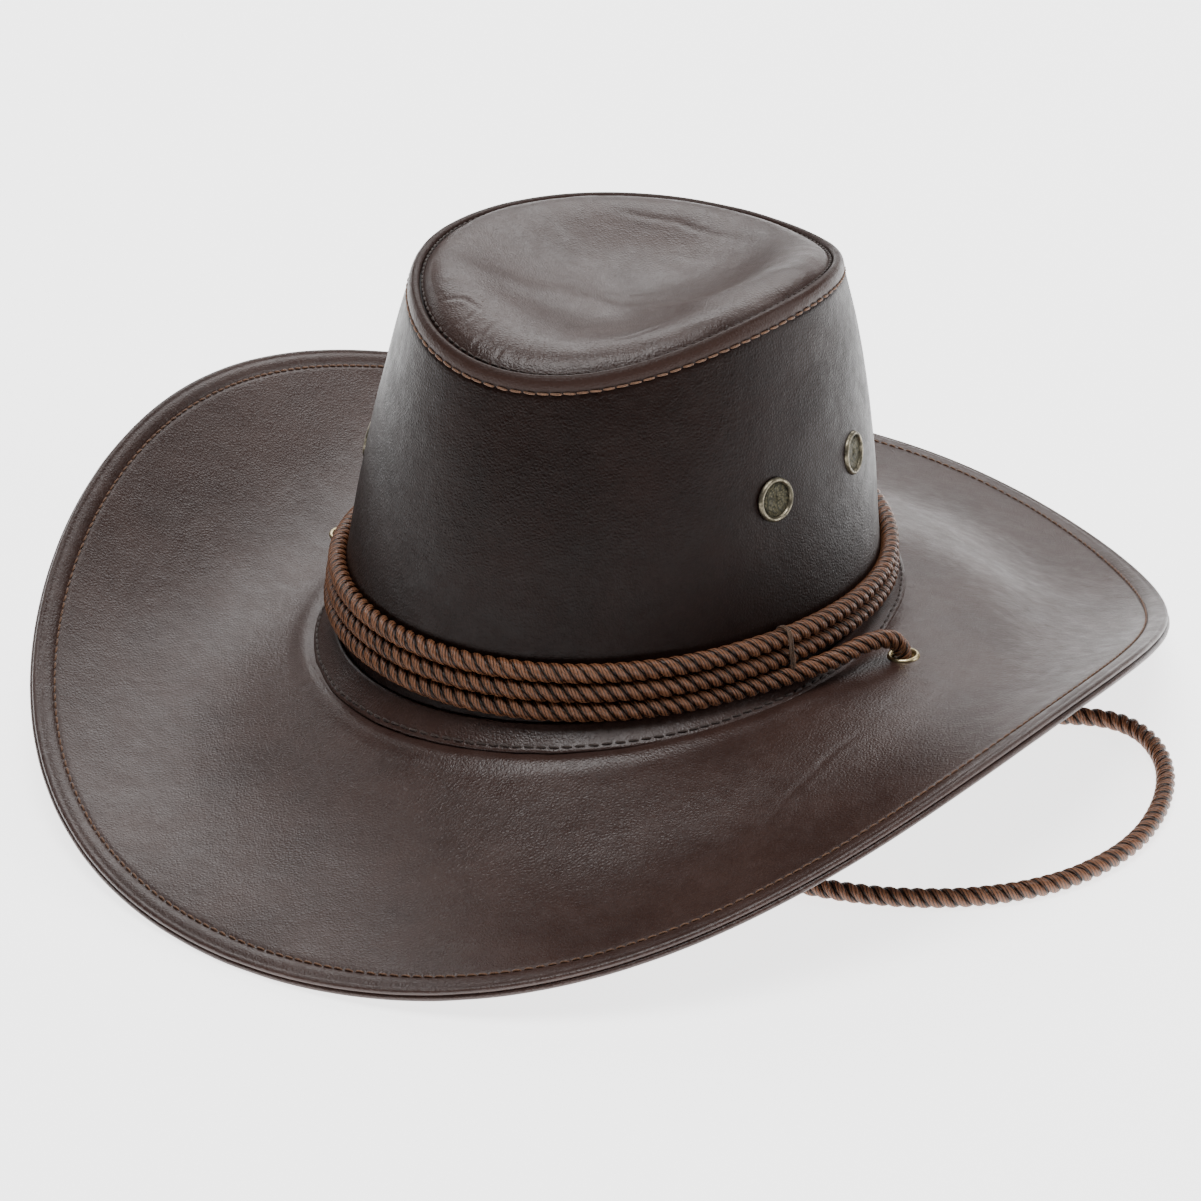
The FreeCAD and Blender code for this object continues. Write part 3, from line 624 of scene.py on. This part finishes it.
def woven(name, dark, light, pitch, rough):
    """Plain weave: two crossed bands of thread, with uneven colour."""
    s = Shader(name, Sheen_Weight=0.25, Sheen_Roughness=0.5, Specular_IOR_Level=0.25)
    around, upright = (
        s.node("TexWave", {"bands_direction": direction}, Vector=s.place, Scale=0.32 / pitch,
               Distortion=0.6, Detail=1.0).outputs["Fac"] for direction in ("Z", "DIAGONAL"))
    weave = s.maths("MULTIPLY", around, upright)
    tone = s.mixed(weave, s.noise(120, 3), 0.4)
    return s.finished((tone, ((0.2, dark), (0.7, light))),
                      (s.noise(300, 3), 0.3, 0.7, rough - 0.08, rough + 0.08), (weave, pitch * 0.25))


def yarn(name, dark, light, rough, sheen):
    """Satin yarn: fine fibres along the strand, read from the strand's own UV."""
    s = Shader(name, Sheen_Weight=sheen, Sheen_Roughness=0.35, Specular_IOR_Level=0.45)
    split = s.node("SeparateXYZ", Vector=s.node("TexCoord").outputs["UV"]).outputs
    turned = s.maths("SUBTRACT", split["X"], s.maths("MULTIPLY", split["Y"], 1.5))
    ply = s.maths("ABSOLUTE", s.maths("SINE", s.maths("MULTIPLY", turned, math.pi * YARNS)))
    stretched = s.node("CombineXYZ", X=s.maths("MULTIPLY", turned, 34.0),
                       Y=s.maths("MULTIPLY", split["Y"], 6.0)).outputs["Vector"]
    fibres = s.mixed(ply, s.noise(1.0, 3, 0.6, stretched), 0.55)
    # painted shade: the colour darkens towards black between the strands, where outwardness is low; the first
    # ramp stop is that near-black
    painted_gap_shade = s.range(s.attribute("outwardness"), 0.70, 1.0, -0.62, 0.0)
    tone = s.maths("ADD", s.mixed(fibres, s.noise(90, 3), 0.25), painted_gap_shade)
    return s.finished((tone, ((0.16, (0.004, 0.002, 0.001)), (0.34, dark), (0.62, light))),
                      (fibres, 0.3, 0.7, rough - 0.06, rough + 0.1), (fibres, 0.0004))


def thread(name, dark, light):
    """Sewing thread: a fine twist with a faint shine."""
    s = Shader(name, Sheen_Weight=0.2, Specular_IOR_Level=0.4)
    twist = s.noise(2600)
    return s.finished((twist, ((0.35, dark), (0.65, light))), (twist, 0.3, 0.7, 0.5, 0.7), (twist, 0.00008))


def metal(name, bright, dull, rough, wear=0.5):
    """Metal with a patina that is worn off in patches, and fine scratches."""
    s = Shader(name, Metallic=1.0)
    patina = s.noise(420, 5, 0.65)
    return s.finished((patina, ((wear - 0.12, bright), (wear + 0.14, dull))),
                      (patina, 0.35, 0.65, rough, rough + 0.2), (s.noise(1800, 3), 0.00003))


def board(name, dark, light):
    """Pressed fibre sheet or foam."""
    s = Shader(name, Specular_IOR_Level=0.3)
    fibres = s.noise(700, 5, 0.7)
    return s.finished((fibres, ((0.3, dark), (0.7, light))), (fibres, 0.3, 0.7, 0.8, 0.95), (fibres, 0.0002))


def gauze(name):
    """Dark woven wire with verdigris in its corners."""
    s = Shader(name, Metallic=0.6)
    wires = s.node("TexVoronoi", {"feature": "F1", "distance": "CHEBYCHEV"}, Vector=s.place,
                   Scale=1300.0).outputs["Distance"]
    return s.finished((wires, ((0.2, (0.10, 0.088, 0.05)), (0.55, (0.032, 0.03, 0.018)))),
                      (s.noise(600, 3), 0.3, 0.7, 0.45, 0.7), (wires, 0.00025))


BROWN = leathercloth("brown_leathercloth", (0.032, 0.0155, 0.012), (0.050, 0.026, 0.0205), 0.37)
# painted shade: the crown wall is the brim's leathercloth in a much darker, less glossy copy; near_rim gives
# the fold at the rim the brim's own brown
WALL_BROWN_PAINTED_SHADE = leathercloth("wall_leathercloth_painted_shade", (0.0065, 0.0026, 0.0018), (0.013, 0.0056, 0.0042), 0.38,
                          gloss=0.14, near_rim=(0.034, 0.018, 0.0142))
BAND = leathercloth("sweatband_leather", (0.012, 0.008, 0.007), (0.02, 0.014, 0.012), 0.55, 0.7)
CORD = yarn("copper_yarn", (0.026, 0.009, 0.0038), (0.205, 0.083, 0.037), 0.32, 0.0)
THREADS = {
    "golden_thread": thread("golden_thread", (0.07, 0.031, 0.015), (0.19, 0.09, 0.043)),
    "dark_thread": thread("dark_thread", (0.02, 0.011, 0.008), (0.045, 0.025, 0.018)),
    "cord_thread": thread("cord_thread", (0.06, 0.03, 0.015), (0.14, 0.075, 0.04))}
BRASS = metal("antique_brass", (0.66, 0.56, 0.34), (0.36, 0.29, 0.16), 0.28)
DARK_BRASS = metal("dark_brass", (0.34, 0.30, 0.22), (0.10, 0.09, 0.065), 0.34, 0.46)
STEEL = metal("spring_steel", (0.6, 0.6, 0.6), (0.35, 0.35, 0.36), 0.25)
LINING = woven("lining_cloth", (0.006, 0.005, 0.005), (0.02, 0.017, 0.016), 0.0006, 0.85)
BOARD = board("stiffening_board", (0.45, 0.41, 0.34), (0.62, 0.58, 0.5))
FOAM = board("padding_foam", (0.36, 0.34, 0.31), (0.5, 0.48, 0.45))
GAUZE = gauze("vent_gauze")


# ---- cords

# the chin cord's way: down from the left eyelet, over the table as x and y, up to the right eyelet
ON_TABLE = 0.0031
CHIN_DOWN = (0.104, 0.013, 0.026), (0.105, 0.019, 0.013), (0.108, 0.031, 0.005)
CHIN_LOOP = (
    (0.117, 0.048), (0.133, 0.064), (0.154, 0.074), (0.1745, 0.060), (0.187, 0.033), (0.190, 0.003),
    (0.181, -0.027), (0.162, -0.050), (0.137, -0.066), (0.105, -0.075), (0.070, -0.073), (0.035, -0.062),
    (0.0, -0.057), (-0.035, -0.056), (-0.068, -0.046), (-0.092, -0.028))
CHIN_UP = (-0.104, -0.010, 0.005), (-0.1075, -0.0045, 0.011)


def spline_path(points, step):
    """Smooth path in millimetres of the NURBS spline that has these points, in metres."""
    curve = bpy.data.curves.new("guide", "CURVE")
    curve.dimensions = "3D"
    curve.resolution_u = 16
    spline = curve.splines.new("NURBS")
    spline.points.add(len(points) - 1)
    for point, corner in zip(spline.points, points):
        point.co = (*corner, 1)
    spline.order_u = 3
    spline.use_endpoint_u = True
    guide = linked("guide", curve)
    graph = bpy.context.evaluated_depsgraph_get()
    graph.update()
    line = bpy.data.meshes.new_from_object(guide.evaluated_get(graph))
    path = np.array([v.co for v in line.vertices]) / MM
    bpy.data.objects.remove(guide)
    return resample(path, step)


def rope(name, path):
    """Three strands laid round each other along a path."""
    first, second = path_frames(path)
    step = np.linalg.norm(np.diff(path, axis=0), axis=1).mean()
    length = np.arange(len(path)) * step
    wander = 0.25 * np.sin(length / 41.0) + 0.18 * np.sin(length / 17.3)
    sides = STRAND_SIDES
    parts = []
    for strand in range(3):
        turn = TAU * length / LAY + TAU * strand / 3 + wander
        centres = path + STRAND_OFFSET * (np.cos(turn)[:, None] * first + np.sin(turn)[:, None] * second)
        plump = STRAND_RADIUS * (1 + 0.02 * np.sin(length / 3.1 + strand))
        parts.append(tube_parts(centres, plump, sides))
    points, faces = joined(parts)
    piece = add_mesh(name, points, faces, CORD, "twisted_cord")
    layer = piece.data.uv_layers.new(name="along_strand")
    per_strand = len(path) * sides
    loops = np.zeros(len(piece.data.loops), dtype=np.int32)
    piece.data.loops.foreach_get("vertex_index", loops)
    within = loops % per_strand
    across = within % sides
    quads = 4 * sides * (len(path) - 1)
    for strand in range(3):     # the last quad of each ring ends at 1 across, not back at 0
        first_loop = strand * (quads + 2 * sides)
        corners = across[first_loop:first_loop + quads].reshape(-1, 4)
        corners[(corners.max(axis=1) == sides - 1)[:, None] & (corners == 0)] = sides
    uv = np.stack([across / sides, within // sides * step / LAY], 1)
    layer.data.foreach_set("uv", uv.ravel())
    # outwardness is read by the cord's material to paint shade between the strands
    from_middle = np.linalg.norm(points - np.tile(np.repeat(path, sides, axis=0), (3, 1)), axis=1)
    shown = piece.data.attributes.new("outwardness", "FLOAT", "POINT")
    shown.data.foreach_set("value", from_middle / CORD_RADIUS)
    return piece


def band_dip(degrees):
    """How far the cords sag on the right side and behind it."""
    return (BAND_DIP * max(-math.sin(math.radians(degrees)), 0.0) ** 4
            + BACK_SAG * math.exp(-((math.remainder(degrees, 360) - BACK_SAG_AT) / BACK_SAG_WIDTH) ** 2))


def band_point(degrees, level, clearance=0.0):
    """Corner of the cord's route on the crown wall; one level is one turn higher."""
    t = np.array([math.radians(degrees)])
    height = BAND_HEIGHT + BAND_PITCH * level - band_dip(degrees)
    point, normal, _ = wall.frame(t, wall_fraction(t, height))
    return (point + normal * (BAND_STAND_OFF + clearance))[0]


def band_points():
    """Turns of the cord from the left eyelet forwards round the crown, three times past the front."""
    last = BAND_END - 2 * 360.0
    degrees = BAND_START
    points = []
    while degrees > last:
        turns = (COUNT_FROM - degrees) / 360.0
        whole = math.floor(turns)
        climb = min(max((turns - whole - CLIMB_START) / CLIMB_LENGTH, 0.0), 1.0)
        points.append(band_point(degrees, whole + climb))
        degrees -= 360.0 / CORD_STATIONS
    points.append(band_point(last, 2))
    return points


def metres(points):
    return [tuple(float(k) * MM for k in point) for point in points]


def add_cords():
    left, left_up = place(brim, *CORD_EYELETS["left"])
    right, right_up = place(brim, *CORD_EYELETS["right"])
    start = left - left_up * BRIM_DEPTH
    over = [start, left + left_up * CORD_RISE, (98, 3, 47.5), (92, -14, 45)]
    band = spline_path(metres(over + band_points()), CORD_STEP)
    rise = right - right_up * BRIM_DEPTH
    strand = [rise, right + right_up * CORD_RISE, (-97.5, 20, 34)]
    strand += [band_point(degrees, -1, 2.0) for degrees in (-116.0, -133.0, BAND_END)]
    tail = spline_path(metres(strand), CORD_STEP)
    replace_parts(rope("hat_cord_rope", band), "hat_cord")
    rope("hat_cord_tail", tail)
    loop = [(x, y, ON_TABLE) for x, y in CHIN_LOOP]
    chin_points = [*metres([start]), *CHIN_DOWN, *loop, *CHIN_UP, *metres([rise])]
    chin = spline_path(chin_points, CORD_STEP)
    chin_piece = rope("chin_cord_rope", chin)
    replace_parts(chin_piece, "chin_cord")


add_cords()


# ---- leathercloth panels

angles = np.linspace(0, TAU, ROUND, endpoint=False)
vent_holes = [(*place(wall, *spot), VENT_HOLE) for spot in VENT_PLACES]
cord_holes = [(*place(brim, *spot), CORD_HOLE) for spot in CORD_EYELETS.values()]


def level_rows(fractions):
    """The same fractions all round the head."""
    return np.repeat(fractions[:, None], ROUND, 1)


def panel_rows(face, count, hem, step, fine, roll):
    """Fractions of even rows up to the hem, then of closer ones, the last a roll's radius from the end."""
    distances = np.concatenate([np.arange(hem, fine, -step), np.arange(fine, roll, -0.3), [roll]])
    hem_rows = np.stack([face.fraction(angles, distance) for distance in distances])
    return np.concatenate([np.linspace(0, 1, count)[:-1, None] * hem_rows[0], hem_rows])


def half_circle(centre, radius, first, second, turns):
    """Rings of a turned edge, from one direction towards the other."""
    return [centre + radius * (math.cos(turn) * first + math.sin(turn) * second) for turn in turns]


def brim_panels():
    """Upper and lower leathercloth: each is turned in at the edge, and the two rolls meet in a seam."""
    rows = panel_rows(brim, 78, BRIM_HEM, 0.6, BRIM_FINE, EDGE_ROLL)
    point, normal, _ = brim.frame(angles, rows)
    relief = brim_relief(point, brim.distance(angles, rows))[..., None]
    upper_face = point + normal * relief
    edge, edge_up, edge_out = brim.frame(angles, 1.0)
    radius = EDGE_ROLL * (1 + 0.05 * noise(edge, 9, 12)[:, None])

    def roll(depth, turns):
        centre = edge - edge_out * EDGE_ROLL - edge_up * (depth + EDGE_ROLL)
        return half_circle(centre, radius, edge_up, edge_out, turns)

    turns = np.radians(np.arange(15, 181, 15))
    # the hidden sides have fewer rows, and end before the roll
    inset = brim.distance(angles, rows[::3])
    keep = inset.min(axis=1) > 3.0
    base, up, _ = brim.frame(angles, rows[::3][keep])
    calm = brim_relief(base, inset[keep])[..., None]
    under = list(base + up * (calm - PLY))[::-1]
    weight = basis(5, 3, rows)[..., -1:]
    lower_face = point + normal * (LOWER_RELIEF * relief - BRIM_DEPTH - EDGE_THICKER * weight)
    over = list(base + up * (LOWER_RELIEF * calm - BRIM_DEPTH + PLY))
    for name, node, rings in (
            ("brim_upper_leather", "brim_top", list(upper_face) + roll(0.0, turns) + under),
            ("brim_lower_leather", "brim_bottom",
             over + roll(2 * EDGE_ROLL, [0.0, *turns]) + list(lower_face)[::-1])):
        piece = ring_mesh(name, rings, BROWN, "leathercloth")
        cut_holes(piece, cord_holes)
        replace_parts(piece, node)


def wall_panel():
    """Outer leathercloth of the crown, folded over at the rim with its end inside."""
    rows = panel_rows(wall, 92, WALL_HEM, 0.8, WALL_FINE, WALL_ROLL)
    point, normal, _ = wall.frame(angles, rows)
    rings = list(point + normal * wall_relief(point, wall.distance(angles, rows))[..., None])
    rim, out, up = wall.frame(angles, 1.0)
    radius = WALL_ROLL * (1 + 0.06 * noise(rim, 11, 14)[:, None])
    centre = rim - (up + out) * WALL_ROLL
    rings += half_circle(centre, radius, out, up, np.radians(np.arange(12, 181, 12)))
    for drop, depth in FOLDED_END:
        base, side, _ = wall.frame(angles, wall.fraction(angles, drop))
        rings.append(base - side * depth)
    back = rows[::6]
    keep = wall.distance(angles, back).min(axis=1) > 5.0
    base, side, _ = wall.frame(angles, back[keep])
    rings += list(base - side * PLY)[::-1]
    piece = ring_mesh("crown_wall_leather", rings, WALL_BROWN_PAINTED_SHADE, "leathercloth")
    # the fold at the rim gets the brim's brown, and the rest of the wall keeps its painted shade
    tone = piece.data.attributes.new("near_rim", "FLOAT", "POINT")
    from_rim = np.linalg.norm(np.stack(rings) - rim, axis=-1).ravel()
    tone.data.foreach_set("value", np.clip((RIM_STITCH_DROP - from_rim) / 1.2, 0, 1))
    cut_holes(piece, vent_holes)
    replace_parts(piece, "crown_side")


def disc_mesh(name, rows, top, bottom, material, slot):
    """Closed panel over the whole tip between two heights; a point in the middle closes each side."""
    point, normal, _ = tip.frame(angles, rows)
    up = np.array([0, 0, 1.0])
    relief = tip_relief(point)[..., None] * np.clip(rows[:, :1] * 9, 0, 1)[..., None] * up
    normal[-2:] = up
    count = len(rows) - 1
    second_side = count * ROUND + 1
    points = []
    faces = []
    for first, height in ((0, top), (second_side, bottom)):
        side = point + normal * height + relief
        points += [side[:-1].reshape(-1, 3), side[-1, :1]]
        pole = first + count * ROUND
        faces += ring_faces(count, ROUND, first, False)
        faces += [(pole - ROUND + i, pole - ROUND + (i + 1) % ROUND, pole) for i in range(ROUND)]
    faces += [(i, (i + 1) % ROUND, second_side + (i + 1) % ROUND, second_side + i) for i in range(ROUND)]
    return outward(add_mesh(name, np.concatenate(points), faces, material, slot))


def tip_panels():
    """Leathercloth tip, the foam under it and its lining, all with the same dish."""
    fine = level_rows(np.concatenate([np.linspace(0, 0.2, 30)[:-1], np.linspace(0.2, 1, 70)]))
    coarse = np.concatenate([fine[:-1:3], fine[-1:]])
    for name, node, rows, top, bottom, material, slot in (
            ("crown_tip_leather", "crown_tip", fine, 0.0, -PLY, BROWN, "leathercloth"),
            ("tip_foam", "crown_tip_padding", coarse, -1.1, -3.9, FOAM, "foam"),
            ("tip_lining", "crown_tip_lining", coarse, -4.0, -4.6, LINING, "lining_cloth")):
        piece = disc_mesh(name, rows, top, bottom, material, slot)
        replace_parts(piece, node)


def band_panel(name, node, rows, outer, inner, ripple, material, slot):
    """Closed strip on the inside of the crown wall, with rounded upper and lower edges."""
    point, side, _ = wall.frame(angles, rows)
    wave = unevenness(point, ((ripple, 19, 21), (0.3 * ripple, 6, 22)))[..., None]
    wave = wave * np.sin(np.linspace(0, math.pi, len(rows)))[:, None, None]
    near = point - side * outer
    far = point - side * (inner - np.minimum(wave, 0))
    low, high = ((near[end] + far[end]) / 2 + (far[end] - far[beside]) * 0.25
                 for end, beside in ((0, 1), (-1, -2)))
    piece = ring_mesh(name, list(near) + [high] + list(far[::-1]) + [low], material, slot)
    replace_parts(piece, node)
    return piece


def inner_bands():
    """Sweatband and wall lining, as seen from under the hat."""
    front = np.array([0.0])
    top_of_band = wall_fraction(front, foot_point(front)[0, 2] + SWEATBAND_HEIGHT)[0]
    band_panel("sweatband_leather_band", "sweatband", level_rows(np.linspace(0, top_of_band, 30)),
               2.7, 4.1, 0.35, BAND, "sweatband_leather")
    lining = band_panel("wall_lining", "crown_side_lining", level_rows(np.linspace(0, LINING_TOP, 60)),
                        2.0, 2.6, 0.3, LINING, "lining_cloth")
    cut_holes(lining, vent_holes)


def strip_rows(t):
    low, low_up, _ = brim.frame(t, brim.fraction(t, STRIP_REACH, from_last=False))
    wave = unevenness(low, ((0.35, 13, 31), (0.2, 5, 32)))[:, None]
    low = low - low_up * 0.3 + radial(t) * wave
    height = foot_point(t)[:, 2] + STRIP_RISE - 1.5 * np.sin(t)
    high, high_out, _ = wall.frame(t, wall_fraction(t, height))
    high = high + high_out * 0.45
    return [low, (low + high) / 2 - radial(t) * 0.9 + np.array([0, 0, -0.5]), high]


strip = Face(strip_rows, 2)


def base_strip():
    """Strip over the joint of crown and brim, with soft cut edges."""
    across = np.linspace(0, 1, 14)
    lower, normal, out = strip.frame(angles, level_rows(across))
    crown = 0.25 * np.sin(math.pi * across)[:, None, None] + 0.08 * noise(lower, 8, 33)[..., None]
    upper = lower + normal * (STRIP + crown)
    foot_end, wall_end = ((upper[k] + lower[k]) / 2 + out[k] * bulge for k, bulge in ((0, -0.35), (-1, 0.35)))
    rings = list(upper) + [wall_end] + list(lower[::-1]) + [foot_end]
    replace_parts(ring_mesh("base_strip_leather", rings, BROWN, "leathercloth"), "base_strip")


brim_panels()
wall_panel()
tip_panels()
inner_bands()
base_strip()


# ---- stitching

def stitches(line, path, normals, pitch, length, radius, slot):
    """Separate stitches along a closed line; each rises from one hole and dips into the next."""
    closed = np.concatenate([path, path[:1]])
    sums = np.concatenate([[0], np.cumsum(np.linalg.norm(np.diff(closed, axis=0), axis=1))])
    count = int(sums[-1] / pitch)
    real_pitch = sums[-1] / count
    ups = np.concatenate([normals, normals[:1]])
    steps = np.linspace(0, 1, 9)
    lift = radius * 0.55 * np.sin(math.pi * steps) ** 0.5 - STITCH_SINK * (2 * np.abs(steps - 0.5)) ** 6
    parts = []
    for k in range(count):
        jitter = 0.12 * math.sin(k * 12.9898) * real_pitch
        places = (k * real_pitch + jitter + steps * length) % sums[-1]
        centre = np.stack([np.interp(places, sums, closed[:, c]) for c in range(3)], 1)
        up = np.stack([np.interp(places, sums, ups[:, c]) for c in range(3)], 1)
        aslant = np.cross(centre[-1] - centre[0], up[4])
        aslant = aslant / np.linalg.norm(aslant) * (0.1 + 0.08 * math.sin(k * 3.7))
        course = centre + up * lift[:, None] + aslant * (steps - 0.5)[:, None] * 2
        plump = radius * (0.75 + 0.25 * np.sin(math.pi * steps))
        parts.append(tube_parts(course, plump, THREAD_SIDES))
    piece = add_mesh(line + "_stitches", *joined(parts), THREADS[slot], slot)
    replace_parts(piece, line + "_stitching")


def add_stitching():
    """One line of stitches for each row below; lift is their height over the face and its relief."""
    for line, slot, face, distance, from_last, relief, lift, side, pitch, length, radius in (
            ("brim_edge", "golden_thread", brim, EDGE_STITCH_INSET, True, brim_relief, 0.12,
             1, 3.3, 2.75, 0.36),
            ("crown_top", "golden_thread", wall, RIM_STITCH_DROP, True, wall_relief, 0.14,
             1, 4.1, 3.6, 0.38),
            ("tip_seam", "dark_thread", tip, 1.2, False, None, 0.3, 1, 3.0, 2.3, 0.36),
            ("base_strip", "dark_thread", strip, 1.6, False, None, STRIP + 0.22, 1, 3.9, 3.2, 0.4),
            ("sweatband", "dark_thread", wall, 3.0, False, None, -4.25, -1, 3.6, 3.0, 0.36)):
        base, up, _ = face.frame(angles, face.fraction(angles, distance, from_last))
        height = np.full(ROUND, lift)
        if relief:
            height += relief(base, np.full(ROUND, distance))
        stitches(line, base + up * height[:, None], side * up, pitch, length, radius, slot)


add_stitching()


# ---- eyelets

def lathe(name, profile, places, material, slot, sides=64):
    """Turned pieces, one at each (point, normal), from a closed profile of (radius, height)."""
    parts = []
    for point, normal in places:
        circle = circle_across(normal, sides, [0.21, 0.34, 0.92])
        rings = [point + normal * height + circle * radius for radius, height in profile]
        parts.append((np.concatenate(rings), ring_faces(len(rings), sides)))
    return outward(add_mesh(name, *joined(parts), material, slot))


def eyelet_profile(bore, flange, height, depth):
    """Rolled flange as half an ellipse over the face, and a thin barrel down through it."""
    middle = (bore + flange) / 2
    half = (flange - bore) / 2
    profile = [(middle + half * math.cos(a), 0.12 + height * math.sin(a))
               for a in np.radians(np.arange(0, 181, 12))]
    return profile + [(bore, -depth), (bore + 0.4, -depth), (bore + 0.45, -0.05), (flange - 0.2, -0.02)]


# bore and flange radius, height and depth; then the dished disc of woven wire as radius and height
VENT_EYELET = 5.3, 7.0, 1.2, 3.8
CORD_EYELET = 3.55, 5.2, 1.05, 4.0
GAUZE_DISC = (0.02, 0.25), (2.7, 0.3), (5.4, 0.55), (5.4, 0.25), (2.7, 0.0), (0.02, -0.05)


def add_eyelets():
    vents = [(point, normal) for point, normal, _ in vent_holes]
    lifted = [(point + normal * 0.1, normal) for point, normal in vents]
    rims = lathe("vent_eyelet_rings", eyelet_profile(*VENT_EYELET), lifted, DARK_BRASS, "antique_brass")
    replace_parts(rims, "vent_eyelets")
    discs = lathe("vent_gauze_discs", GAUZE_DISC, vents, GAUZE, "vent_gauze", 48)
    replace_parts(discs, "vent_screens")
    for side, spot in CORD_EYELETS.items():
        ring = lathe("cord_eyelet_ring_" + side, eyelet_profile(*CORD_EYELET), [place(brim, *spot)], BRASS,
                     "antique_brass")
        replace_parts(ring, "cord_eyelet_" + side)


add_eyelets()


# ---- tacks and loose threads

def thread_loops(name, node, degrees, low_level, high_level, turns, spread):
    """Thread wound over the cords and into the crown wall."""
    t = np.array([math.radians(degrees)])
    level = (low_level + high_level) / 2
    height = BAND_HEIGHT + BAND_PITCH * level - band_dip(degrees)
    point, out, up = (k[0] for k in wall.frame(t, wall_fraction(t, height)))
    along = np.cross(up, out)
    tall = BAND_PITCH * (high_level - low_level) / 2 + CORD_RADIUS + 0.35
    half_deep = CORD_RADIUS + 0.375
    turn = np.linspace(0, TAU * turns, 40 * turns)
    # powers below 1 make each loop nearer to a rectangle
    rise, reach = (np.sign(wave) * np.abs(wave) ** 0.62 * half
                   for wave, half in ((np.sin(turn), tall), (np.cos(turn), half_deep)))
    reach += half_deep - 0.3
    slide = (turn / turn[-1] - 0.5) * spread + 0.12 * np.sin(turn * 1.7)
    line = point + rise[:, None] * up + reach[:, None] * out + slide[:, None] * along
    points, faces = tube_parts(line, 0.28, THREAD_SIDES)
    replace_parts(add_mesh(name, points, faces, THREADS["cord_thread"], "cord_thread"), node)


# the loose thread on the base strip: angle, share of the strip's width, and height over it
THREAD_END = (-63, 0.15, -0.3), (-62, 0.25, 0.6), (-60, 0.45, 1.6), (-57, 0.8, 1.5), (-56, 1.0, 2.2)


def loose_end():
    line = []
    for degrees, share, lift in THREAD_END:
        point, normal = place(strip, degrees, share)
        line.append(point + normal * (STRIP + lift))
    path = spline_path(metres(line), 0.6)
    points, faces = tube_parts(path, 0.25, THREAD_SIDES)
    add_mesh("strip_thread_end", points, faces, THREADS["golden_thread"], "golden_thread")


loose_end()
thread_loops("left_tack_thread", "cord_tack_left", 74.0, 0, 2, 3, 2.0)
thread_loops("back_tack_thread", "cord_tack_back", -146.0, -1, 2, 8, 7.0)


# ---- finish of the CAD pieces that show

def dress(names, material):
    for name in names:
        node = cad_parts[name]
        node.data.materials.clear()
        node.data.materials.append(material)


dress(["brim_stiffener", "crown_side_stiffener"], BOARD)
dress(["brim_edge_wire", "brim_wire_ferrule"], STEEL)
dress(["vent_washers", "eyelet_washer_left", "eyelet_washer_right"], DARK_BRASS)


# ---- studio

def add_stage():
    mesh = bpy.data.meshes.new("floor")
    half = 6.0
    corners = [(-half, -half, 0), (half, -half, 0), (half, half, 0), (-half, half, 0)]
    mesh.from_pydata(corners, [], [range(4)])
    floor = linked("floor", mesh)
    s = Shader("glowing_floor", Roughness=0.9, Specular_IOR_Level=0.1)
    s.set("Base Color", s.ramp(s.noise(3, 2), ((0.3, (0.93, 0.93, 0.93)), (0.7, (0.96, 0.96, 0.96)))))
    away = s.node("VectorMath", {"operation": "LENGTH"}, Vector=s.place).outputs["Value"]
    # painted light: the floor glows, strongest within 0.9 m of the middle and fading out to 3 m, which keeps
    # it white, washes out the hat's shadow and lights the hat from below
    s.set("Emission Color", (1, 1, 1, 1))
    s.set("Emission Strength", s.range(away, 0.9, 3.0, 2.6, 0.7))
    floor.data.materials.append(s.material)


def area_light(name, spot, size, power):
    """A rectangle of light aimed at the middle of the hat."""
    data = bpy.data.lights.new(name, "AREA")
    data.shape = "RECTANGLE"
    data.size, data.size_y = size
    data.energy = power
    light = linked(name, data)
    light.location = spot
    light.rotation_euler = (Vector((0, 0, 0.06)) - Vector(spot)).to_track_quat("-Z", "Y").to_euler()


def add_lights():
    world = bpy.data.worlds.new("studio")
    bpy.context.scene.world = world
    world.use_nodes = True
    background = world.node_tree.nodes["Background"].inputs
    background["Color"].default_value = (1, 1, 1, 1)
    background["Strength"].default_value = 0.03
    area_light("overhead", (0.08, -0.3, 1.9), (1.2, 1.1), 36)
    area_light("behind", (-0.62, 1.38, 1.2), (1.9, 1.1), 27)
    area_light("side_left", (-1.5, 0.25, 0.6), (0.5, 1.0), 4)
    area_light("side_right", (1.4, 0.9, 0.7), (0.5, 1.0), 13)


add_stage()
add_lights()
